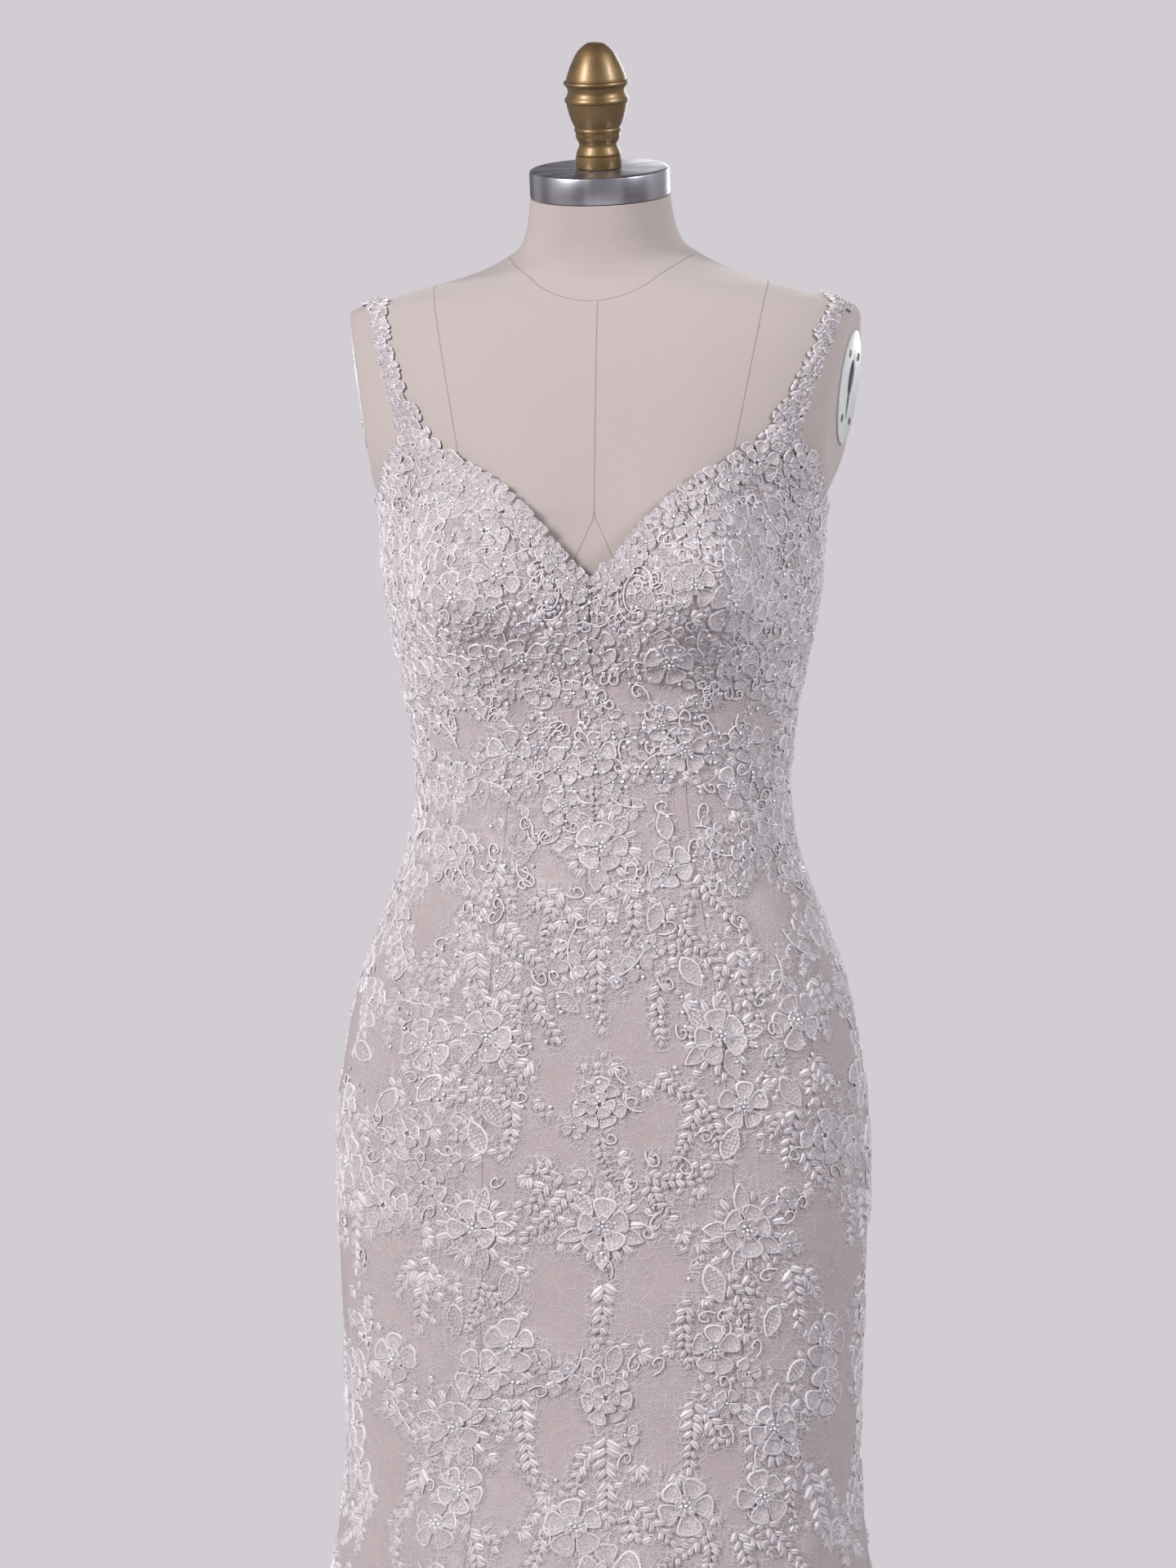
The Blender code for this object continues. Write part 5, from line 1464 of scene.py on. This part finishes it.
def bare_net(angle, z):
    """Whether places lie in a patch of bare net."""
    bare = np.zeros(np.shape(z), bool)
    sway = 0.30 * np.sin(240 * z + 9 * angle) + 0.24 * np.sin(37 * angle - 130 * z + 1.0)
    for degrees, middle, half_width, half_height, lean in OPEN_PATCHES:
        for side in (-1, 1):
            at = side * math.radians(degrees)
            sideways = wrapped(angle - at) * figure_radius(at, middle) * side
            upward = z - middle - 0.006 * side
            slope = math.radians(lean)
            x = sideways * math.cos(slope) - upward * math.sin(slope)
            y = upward * math.cos(slope) + sideways * math.sin(slope)
            bare |= (x / half_width) ** 2 + (y / half_height) ** 2 < 1 + sway
    return bare


class LaceLayout:
    """What is laid where, with the room that it takes."""

    def __init__(self):
        self.laid = []  # motif, angle, height
        self.points = np.zeros((MOST_SHAPES, 3))
        self.reach = np.zeros(MOST_SHAPES)
        self.count = 0

    def room(self, motifs, angle, z):
        """Where the motifs' shapes lie, how far they reach, which are on the cloth, and whose they are."""
        shapes = [(k, *shape) for k, motif in enumerate(motifs) for shape in motif.roomy()]
        owner = np.array([shape[0] for shape in shapes])
        x, y, heading, half_width, length = (np.array([shape[i] for shape in shapes]) for i in range(2, 7))
        middle = np.array([SHAPES[shape[1]][1] for shape in shapes]) * length
        slopes = gown_slopes(angle, z)[:, owner]
        at_angle, at_z = on_gown(angle[owner], z[owner], slopes, x + np.sin(heading) * middle,
                                 y + np.cos(heading) * middle)
        reach = np.where(middle > 0, shape_reach(half_width, length), half_width) * PLANE
        gap = np.where(at_z > PLACKET_FOOT_Z, PLACKET_CLEAR, -0.1)
        inside = (math.pi - np.abs(at_angle)) / slopes[0] > reach * 0.9 + gap
        inside &= (at_z + reach * 0.7 < top_edge(at_angle)) & (at_z - reach > HEM_Z + HEM_CLEAR)
        return figure_point(at_angle, at_z), reach, inside & ~bare_net(at_angle, at_z), owner

    def free(self, points, reach, packing):
        near = np.abs(self.points[: self.count] - points.mean(axis=0)).max(axis=1) < NEIGHBOURHOOD
        others, sizes = self.points[: self.count][near], self.reach[: self.count][near]
        if not len(others):
            return True
        apart = ((points[:, None, :] - others[None, :, :]) ** 2).sum(axis=-1)
        return bool((apart > ((reach[:, None] + sizes[None, :]) * packing) ** 2).all())

    def keep(self, motif, angle, z, points, reach):
        self.points[self.count: self.count + len(reach)] = points
        self.reach[self.count: self.count + len(reach)] = reach
        self.count += len(reach)
        self.laid.append((motif, angle, z))

    def set_by_hand(self, design, degrees, z, turn, size):
        motif, angle = design(turn, size, rng), math.radians(degrees)
        points, reach, _, _ = self.room([motif], np.array([angle]), np.array([z]))
        self.keep(motif, angle, z, points, reach)

    def scatter(self, rows):
        heights = np.linspace(HEM_Z, LACE_TOP_Z, 400)
        girth = figure_radius(np.radians(60.0), heights)
        for row in rows:
            plan = dict(zip(SCATTER_COLUMNS, row))
            within = (heights > plan["low"]) & (heights < plan["high"])
            z = rng.choice(heights[within], plan["tries"], p=girth[within] / girth[within].sum())
            angle = rng.uniform(-math.pi, math.pi, plan["tries"])
            turns = plan["turn"] + rng.uniform(-plan["spread"], plan["spread"], plan["tries"])
            sizes = rng.uniform(plan["smallest"], plan["largest"], plan["tries"])
            motifs = [plan["motif"](turn, size, rng) for turn, size in zip(turns, sizes)]
            points, reach, inside, owner = self.room(motifs, angle, z)
            bounds = np.searchsorted(owner, np.arange(plan["tries"] + 1))
            for k, motif in enumerate(motifs):
                own = slice(bounds[k], bounds[k + 1])
                if inside[own].all() and self.free(points[own], reach[own], plan["packing"]):
                    self.keep(motif, angle[k], z[k], points[own], reach[own])


layout = LaceLayout()
for node, degrees, z, turn in BLOOMS:
    layout.set_by_hand(bloom, degrees, z, turn, 1.0)
bloom_count = len(layout.laid)
for design, z, turn, size in CENTRE_MOTIFS:
    layout.set_by_hand(design, 0.0, z, turn, size)
for design, degrees, z, turn, size in HAND_SET:
    for side in (1, -1):
        layout.set_by_hand(design, side * (degrees + rng.uniform(-1.5, 1.5)), z + rng.uniform(-0.004, 0.004),
                           side * turn, size * rng.uniform(0.94, 1.06))
layout.scatter(SCATTER)
layout.scatter(FILL)

# ---------------------------------------------------------------------------------- lace: how it is sewn on
# All shapes of a region are one mesh, each laid on the cloth point by point, with its stitch directions and
# a tone of its own. Cords are curves. Pearls and sequins are laid the same way as the shapes.

SHAPE_COLUMNS = ("angle", "z", "x", "y", "heading", "half_width", "length", "height", "raised", "tilt")


def shape_rows(laid):
    """The shapes of laid motifs by kind, each an array with SHAPE_COLUMNS, and their cords."""
    shapes, cords = {kind: [] for kind in SHAPES}, []
    for motif, angle, z in laid:
        for kind, *rest in motif.shapes:
            shapes[kind].append((angle, z, *rest))
        for points in motif.cords:
            cords.append((angle, z, points))
    return {kind: np.array(rows) for kind, rows in shapes.items() if rows}, cords


def laid_over(face):
    """How shapes and cords are placed: their points, at a height in millimetres above a face of the gown."""

    def place(row, x, y, above):
        angle, z = on_gown(row["angle"], row["z"], gown_slopes(row["angle"], row["z"]), x, y)
        return gown_point(angle, z, face(angle, z) + above * PLANE)

    return place


on_face = laid_over(gown_face)


def mesh_from(name, points, corners, starts):
    """A mesh from its points, the corners of its faces one after another, and where each face starts."""
    data = bpy.data.meshes.new(name)
    data.vertices.add(len(points))
    data.loops.add(len(corners))
    data.polygons.add(len(starts))
    data.vertices.foreach_set("co", points.ravel())
    data.loops.foreach_set("vertex_index", corners.astype(np.int32))
    data.polygons.foreach_set("loop_start", starts.astype(np.int32))
    data.update(calc_edges=True)
    data.shade_smooth()
    return data


def laid_shapes(name, shapes, finish, place=on_face):
    """One mesh of every shape, laid by place, with its stitch directions and a tone for each shape."""
    points, corners, starts, stitch, shares, feet = [], [], [], [], [], []
    point_count = corner_count = 0
    for kind, rows in shapes.items():
        outline, middle, pad, corded, knotted = SHAPES[kind]
        row = {column: rows[:, i: i + 1] for i, column in enumerate(SHAPE_COLUMNS)}
        edge_x, edge_y = outline(pad["turn"])
        across = pad["reach"] * edge_x * row["half_width"]
        along = (middle + pad["reach"] * (edge_y - middle)) * row["length"]
        x = row["x"] + across * np.cos(row["heading"]) + along * np.sin(row["heading"])
        y = row["y"] - across * np.sin(row["heading"]) + along * np.cos(row["heading"])
        above = row["raised"] + pad["height"] * row["height"] + row["tilt"] * across
        points.append(place(row, x, y, above).reshape(-1, 3))
        copies = np.arange(len(rows))[:, None]
        corners.append((pad["corners"] + copies * len(pad["turn"])).ravel() + point_count)
        starts.append((pad["starts"] + copies * len(pad["corners"])).ravel() + corner_count)
        reach = np.where(corded, pad["reach"], 1.0) + 0 * across
        stitch.append(np.stack([across, along, reach], axis=-1).reshape(-1, 3))
        shares.append(np.stack([np.repeat(rng.uniform(0, 1, len(rows)), len(pad["turn"])),
                                np.full(across.size, knotted)]))
        feet.append(np.tile((pad["height"] < -0.1) & (pad["reach"] > 0.5), len(rows)))
        point_count += points[-1].shape[0]
        corner_count += corners[-1].size
    data = mesh_from(name, *(np.concatenate(part) for part in (points, corners, starts)))
    edges = np.empty(len(data.edges) * 2, dtype=np.int64)
    data.edges.foreach_get("vertices", edges)
    sharp = data.attributes.new("sharp_edge", "BOOLEAN", "EDGE")
    sharp.data.foreach_set("value", np.concatenate(feet)[edges.reshape(-1, 2)].all(axis=1))
    add_vector(data, "stitch", np.concatenate(stitch))
    for column, share in enumerate(("tone", "knotted")):
        add_share(data, share, np.concatenate(shares, axis=1)[column])
    data.materials.append(finish.material)
    piece = riding(name, data)
    return piece


def laid_cords(name, cords, finish, thickness=0.0006, place=on_face):
    """The fine cords of the lace, as one curve."""
    curve = bpy.data.curves.new(name, "CURVE")
    curve.dimensions = "3D"
    curve.bevel_depth = thickness
    curve.bevel_resolution = 0
    curve.use_fill_caps = True
    for angle, z, plane in cords:
        x, y = np.array(plane).T
        row = {"angle": np.array([angle]), "z": np.array([z])}
        route = place(row, x, y, 0.9)
        spline = curve.splines.new("POLY")
        spline.points.add(len(route) - 1)
        spline.points.foreach_set("co", np.column_stack([route, np.ones(len(route))]).ravel())
        spline.use_smooth = True
    curve.materials.append(finish.material)
    piece = riding(name, curve)
    return piece


BLUSH_FIELD = (0.42, 0.355, 0.37)


def corded_thread():
    """Silvery thread: floss laid across, a corded rim, and a field of net, of an inner cord, or of knots."""
    made = Finish("silver_ivory_thread", (0.74, 0.70, 0.73), 0.45, Sheen_Weight=0.3, Sheen_Roughness=0.35)
    across, along, reach = made.parts(made.along("stitch"))
    tone = made.share("tone")
    by_stitch = made.joined(made.times(across, 0.9), made.times(along, 3.6), made.times(tone, 50))
    floss = made.noise(1.0, 2.0, by_stitch)
    in_field = made.joined(across, along, made.times(tone, 30))
    nearest = made.node("TexVoronoi", {"feature": "F1"}, Vector=in_field, Scale=0.38, Randomness=0.35)
    knots = made.math("MULTIPLY_ADD", made.ramp(nearest.outputs["Distance"], 0.56, 0.38), 0.75, 0.25)
    mesh_edge = made.node("TexVoronoi", {"feature": "DISTANCE_TO_EDGE"}, Vector=in_field, Scale=0.52)
    netting = made.math("MULTIPLY_ADD", made.ramp(mesh_edge.outputs["Distance"], 0.24, 0.08), 0.60, 0.36)
    inner_cord = made.times(made.ramp(made.size(made.math("SUBTRACT", reach, 0.46)), 0.085, 0.035), 0.9)
    filling = made.mix(made.share("knotted"), made.most(netting, inner_cord), knots)
    field = made.ramp(reach, 0.86, 0.76)
    leaflet_slit = made.times(made.ramp(made.size(across), 0.60, 0.22), made.ramp(reach, 0.955, 0.985))
    beside_slit = made.math("MULTIPLY_ADD", leaflet_slit, -0.6, 1.0)
    raised = made.times(made.mix(field, (1, 1, 1), filling), beside_slit)
    thread = made.mix(tone, (0.64, 0.59, 0.62), (0.88, 0.84, 0.87))
    thread = made.mix(made.times(field, 0.45), thread, (0.50, 0.445, 0.47))
    thread = made.mix(made.times(floss, 0.36), thread, (0.38, 0.335, 0.36))
    made.color(made.mix(raised, BLUSH_FIELD, thread))
    made.roughness(made.plus(0.34, made.times(floss, 0.26)))
    made.bump(made.plus(made.times(floss, 0.5), raised), 0.0011)
    return made


lace_thread = corded_thread()
cord_thread = Finish("silver_cord", (0.70, 0.66, 0.69), 0.42, Sheen_Weight=0.3)
cord_thread.grained(900.0, 2.0, (0.56, 0.515, 0.545), (0.78, 0.74, 0.77))
cord_thread.bump(cord_thread.noise(1600.0), 0.0003, 0.5)
pearl_glass = Finish("clear_pearl", (0.82, 0.80, 0.83), 0.14, Coat_Weight=0.6, Coat_Roughness=0.08)
pearl_glass.color(pearl_glass.mix(pearl_glass.share("tone"), (0.70, 0.69, 0.74), (0.92, 0.89, 0.90)))
sequin_film = Finish("clear_sequin", (0.8, 0.8, 0.83), 0.12, Coat_Weight=1.0, Coat_Roughness=0.05,
                     Metallic=0.35)
sequin_film.color(sequin_film.mix(sequin_film.share("tone"), (0.66, 0.72, 0.82), (0.95, 0.86, 0.88)))

REGIONS = (  # name, lowest height, highest height
    ("bodice", 1.060, 1.500), ("hip", 0.860, 1.060), ("thigh", 0.620, 0.860), ("flare", 0.250, 0.620),
    ("hem", 0.0, 0.250),
)
PEARLS_ABOVE = 0.60  # below it the lace has none
lace = {}
for region, low, high in REGIONS:
    for face in ("front", "back"):
        chosen = [
            laid for laid in layout.laid[bloom_count:]
            if low <= laid[2] < high and (abs(laid[1]) < math.radians(SIDE_SEAM)) == (face == "front")
        ]
        shapes, cords = shape_rows(chosen)
        pearls = shapes.pop("pearl", None)
        lace[region, face] = [laid_shapes(f"lace_{region}_{face}", shapes, lace_thread)]
        if pearls is not None and low > PEARLS_ABOVE:
            lace[region, face].append(laid_shapes(f"pearls_{region}_{face}", {"pearl": pearls}, pearl_glass))
        if cords:
            lace[region, face].append(laid_cords(f"cords_{region}_{face}", cords, cord_thread))

shapes, _ = shape_rows(layout.laid[:bloom_count])
bloom_pearls = laid_shapes("pearls_blooms", {"pearl": shapes.pop("pearl")}, pearl_glass)
blooms = laid_shapes("lace_blooms", shapes, lace_thread)
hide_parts(*(row[0] for row in BLOOMS))

# Clear sequins are sewn on at random, thickest over the bust.
sequins = LaceLayout()
sequins.scatter(SEQUINS)
sequin_rows, _ = shape_rows(sequins.laid)
sequin_piece = laid_shapes("sequins", sequin_rows, sequin_film)

# Between the motifs the net is worked thick with thread, up to the edges of the bare patches.
WORKED_REACH = 0.0045
worked_from = KDTree(layout.count)
for index in range(layout.count):
    worked_from.insert(layout.points[index], index)
worked_from.balance()
for cloth, angle, z in cloth_spots:
    spots = figure_point(angle, z)
    nearest_laid = np.array([worked_from.find(spot)[1:] for spot in spots])
    beyond = nearest_laid[:, 1] - layout.reach[nearest_laid[:, 0].astype(int)]
    add_share(cloth.data, "worked", np.clip(1 - beyond / WORKED_REACH, 0, 1))

# -------------------------------------------------------------------------------- lace borders of the edges
# A scalloped band of net is sewn along the neckline of each cup. Petals stand along it and along the
# underarm and back edges, with blossoms and leaflets below them.

NECK_LACE_WALL = 0.0006
NECK_LACE_APART = 0.0008  # how far it stands off the cup along the edge
NECK_LACE_DEPTH = 0.009
NECK_LACE_STAND = 0.0005
EDGE_STEPS = 600  # places read along each edge
SCALLOP_HEIGHT = 0.0025
SCALLOP_COUNT = 8


def neck_band(name, side):
    first, last = math.radians(1.2), math.radians(STRAP_FRONT[0] - 1.0)

    def at(u, v):
        angle = first + (last - first) * u
        high = NECK_LACE_STAND + np.abs(np.sin(math.pi * SCALLOP_COUNT * u)) ** 0.7 * SCALLOP_HEIGHT
        low = NECK_LACE_DEPTH * (0.86 + 0.14 * np.sin(26 * u + 2 * np.sin(9 * u)))
        return angle, read_edge(NECKLINE, angle) - low + (low + high) * v

    def place(u, v, outside):
        angle, z = at(u, v)
        apart = SEAM_GAP / 2 + NECK_LACE_APART * np.clip(v / 0.5, 0, 1)
        inner = gown_face(side * angle, z) + apart
        return gown_point(side * angle, z, inner + np.where(outside, NECK_LACE_WALL, 0))

    band, u, v = cloth_wall(name, SCALLOP_COUNT * 10, 8, place, satin)
    angle, z = at(u, v)
    add_grain(band.data, angle * 160, z * 1000)
    add_share(band.data, "worked", 0 * u + 1)
    return band


def edge_face(angle, z):
    """As high as the neck bands, falling to the gown's own face past them."""
    banded = np.clip((math.radians(50) - np.abs(angle)) / math.radians(4), 0, 1)
    return gown_face(angle, z) + (NECK_LACE_APART + NECK_LACE_WALL) * banded


on_edges = laid_over(edge_face)


def border_motifs(side, first, last, rich):
    """Motifs along an edge from one angle to another, in degrees, their petals pointing off the cloth."""
    angle = np.radians(np.linspace(first, last, EDGE_STEPS))
    z = top_edge(angle)
    length = run_along(figure_point(angle, z))
    motifs = []
    at = 0.0025
    while at < length[-1] - 0.002:
        k = int(np.searchsorted(length, at))
        before, after = max(k - 6, 0), min(k + 6, EDGE_STEPS - 1)
        run = (angle[after] - angle[before]) * figure_radius(angle[k], z[k])
        tilt = -math.degrees(math.atan2(z[after] - z[before], run))
        made = Motif(side * tilt, 1.0, rng)
        wide = rng.uniform(3.2, 4.2)
        made.add("small_petal", 0, -2.4, rng.uniform(-24, 24), wide, rng.uniform(7.0, 10.0), 1.5,
                 rng.uniform(0, 0.9))
        made.add("leaflet", rng.uniform(-1, 1), -6.0, rng.uniform(-70, 70), 2.0, 6.5, 1.3, 0.3)
        motifs.append((made, side * angle[k], z[k]))
        if rich and rng.uniform() < 0.6:
            below = blossom(rng.uniform(0, 72), rng.uniform(0.85, 1.1), rng)
            motifs.append((below, side * angle[k], z[k] - rng.uniform(0.0065, 0.0105)))
        at += wide * rng.uniform(1.1, 1.8) * PLANE
    return motifs


neck_bands = {}
edge_motifs = []
for word, side in BOTH_SIDES:
    neck_bands[word] = neck_band(f"neck_band_{word}", side)
    edge_motifs += border_motifs(side, 0.8, 46, True)
    edge_motifs += border_motifs(side, 66, 117, False)
    edge_motifs += border_motifs(side, 137, 176.5, False)
edge_shapes, _ = shape_rows(edge_motifs)
edge_pearls = laid_shapes("pearls_edges", {"pearl": edge_shapes.pop("pearl")}, pearl_glass, on_edges)
lace_edges = laid_shapes("lace_edges", edge_shapes, lace_thread, on_edges)
for word, band in neck_bands.items():
    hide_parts(f"neck_lace_{word}")

# --------------------------------------------------------------------------------------- lace on the straps
# Roses where the straps spring from the cups, then blossoms, leaves and leaflets over the whole tape and
# past its sides, so that the outline is broken.

STRAP_STEPS = np.linspace(0, 1, 60)  # places read along a strap
STRAP_MOTIFS = (  # motif, tries, smallest, largest, packing
    (rose, 30, 0.66, 0.80, 0.66), (blossom, 500, 0.70, 0.95, 0.62), (sprig, 500, 0.70, 0.95, 0.62),
    (single_leaf, 400, 0.60, 0.85, 0.62), (seed, 900, 0.80, 1.10, 0.62),
)


def strap_lace(side):
    across = np.ones(len(STRAP_STEPS))
    inner, outer = (strap_point(side, STRAP_STEPS, way * across, 0 * across) for way in (-1, 1))
    half_widths = lengths(outer - inner)[:, 0] / 2 / PLANE
    run = run_along((inner + outer) / 2) / PLANE
    band = LaceLayout()
    for design, tries, smallest, largest, packing in STRAP_MOTIFS:
        for _ in range(tries):
            motif = design(rng.uniform(0, 360), rng.uniform(smallest, largest), rng)
            y = rng.uniform(0, run[-1])
            x = rng.uniform(-1.1, 1.1) * np.interp(y, run, half_widths)
            shapes = motif.roomy()
            reach = np.array([shape_reach(*shape[4:6]) for shape in shapes])
            points = np.array([(x + s[1] + math.sin(s[3]) * s[5] / 2, y + s[2] + math.cos(s[3]) * s[5] / 2, 0)
                               for s in shapes])
            side_room = np.interp(points[:, 1], run, half_widths) + 1.6 - np.abs(points[:, 0]) - 0.6 * reach
            if (side_room > 0).all() and (points[:, 1] > -1).all() and (points[:, 1] < run[-1] - 2).all():
                if band.free(points * PLANE, reach * PLANE, packing):
                    band.keep(motif, x, y, points * PLANE, reach * PLANE)

    def place(row, x, y, above):
        at_y = row["z"] + y
        along = np.interp(at_y, run, STRAP_STEPS) + np.minimum(at_y, 0) / run[-1]
        share = (row["angle"] + x) / np.interp(at_y, run, half_widths)
        lift = np.broadcast_to(STRAP_LIFT + TAPE_WALL + above * PLANE, share.shape)
        return strap_point(side, along, share, lift)

    return band.laid, place


for word, side in BOTH_SIDES:
    laid, place = strap_lace(side)
    shapes, _ = shape_rows(laid)
    laid_shapes(f"strap_{word}_pearls", {"pearl": shapes.pop("pearl")}, pearl_glass, place)
    laid_shapes(f"strap_{word}_lace", shapes, lace_thread, place)

# ----------------------------------------------------------------------------- back placket and its buttons
# A narrow strip of satin covers the closing down the centre back. Twelve covered buttons are sewn to it,
# each with a loop of cord.

PLACKET_HALF_WIDTH = 0.008
PLACKET_BOTTOM_Z = 0.905
PLACKET_WALL = 0.0011
PLACKET_LIFT = PANEL_LIFT + WALL + 3 * SEAM_GAP
BUTTON_COUNT = 12
BUTTON_MARGIN = 0.012
BUTTON_PROFILE = ((0, 0.0042), (0.0018, 0.0041), (0.0034, 0.0036), (0.0046, 0.0027), (0.0053, 0.0015),
                  (0.0055, 0.0005), (0.0052, 0.0), (0, 0.0))


def placket_place(u, v, outside):
    z = PLACKET_BOTTOM_Z + (float(top_edge(math.pi)) - SEAM_GAP - PLACKET_BOTTOM_Z) * v
    angle = math.pi + (2 * u - 1) * PLACKET_HALF_WIDTH / figure_radius(math.pi, z)
    return gown_point(angle, z, PLACKET_LIFT + np.where(outside, PLACKET_WALL, 0))


placket, u, v = cloth_wall("placket_satin", 8, 90, placket_place, satin)
add_grain(placket.data, u * 16, v * 265)
add_share(placket.data, "worked", 0 * u)
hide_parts("back_placket")

button_satin = Finish("button_satin", (0.50, 0.42, 0.425), 0.38, Sheen_Weight=0.4, Sheen_Roughness=0.3)
button_weave = button_satin.grained(1.0, 2.0, (0.44, 0.365, 0.37), (0.56, 0.485, 0.49), (2600, 2600, 500))
button_satin.bump(button_weave, 0.0002, 0.6)
LOOP_SIDE = ((-7.4, 2.6), (-5.0, 4.4), (-1.0, 6.3), (3.2, 5.6), (6.1, 2.2))  # one side of a cord loop
button_top = float(top_edge(math.pi)) - BUTTON_MARGIN
button_heights = [button_top - index * (button_top - PLACKET_BOTTOM_Z - BUTTON_MARGIN) / (BUTTON_COUNT - 1)
                  for index in range(BUTTON_COUNT)]
loop = [*((x, -y) for x, y in LOOP_SIDE), *reversed(LOOP_SIDE)]


def sewn_button(z):
    seat = gown_point(math.pi, z, PLACKET_LIFT + PLACKET_WALL + 2 * SEAM_GAP)
    normal = Vector(figure_normal(math.pi + gown_turn(z), z).tolist())
    button = turned(BUTTON_PROFILE, 24)
    facing = normal.to_track_quat("Z", "Y").to_matrix().to_4x4()
    bmesh.ops.transform(button, matrix=Matrix.Translation(seat.tolist()) @ facing, verts=button.verts[:])
    return button


all_buttons = one_mesh(sewn_button(z) for z in button_heights)
covered_buttons = mesh_object("covered_buttons", all_buttons, button_satin)
covered_buttons.data.set_sharp_from_angle(angle=math.radians(50))
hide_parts(*(f"button_{index + 1:02d}" for index in range(BUTTON_COUNT)))

on_placket = laid_over(lambda angle, z: PLACKET_LIFT + PLACKET_WALL)
button_cords = [(math.pi, z, loop) for z in button_heights]
button_loops = laid_cords("button_loops", button_cords, cord_thread, 0.0005, on_placket)

# ------------------------------------------------------------------------------------- bounds of the scene
# The bounds of all that is rendered, the backdrop left out.

(low, high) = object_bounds()
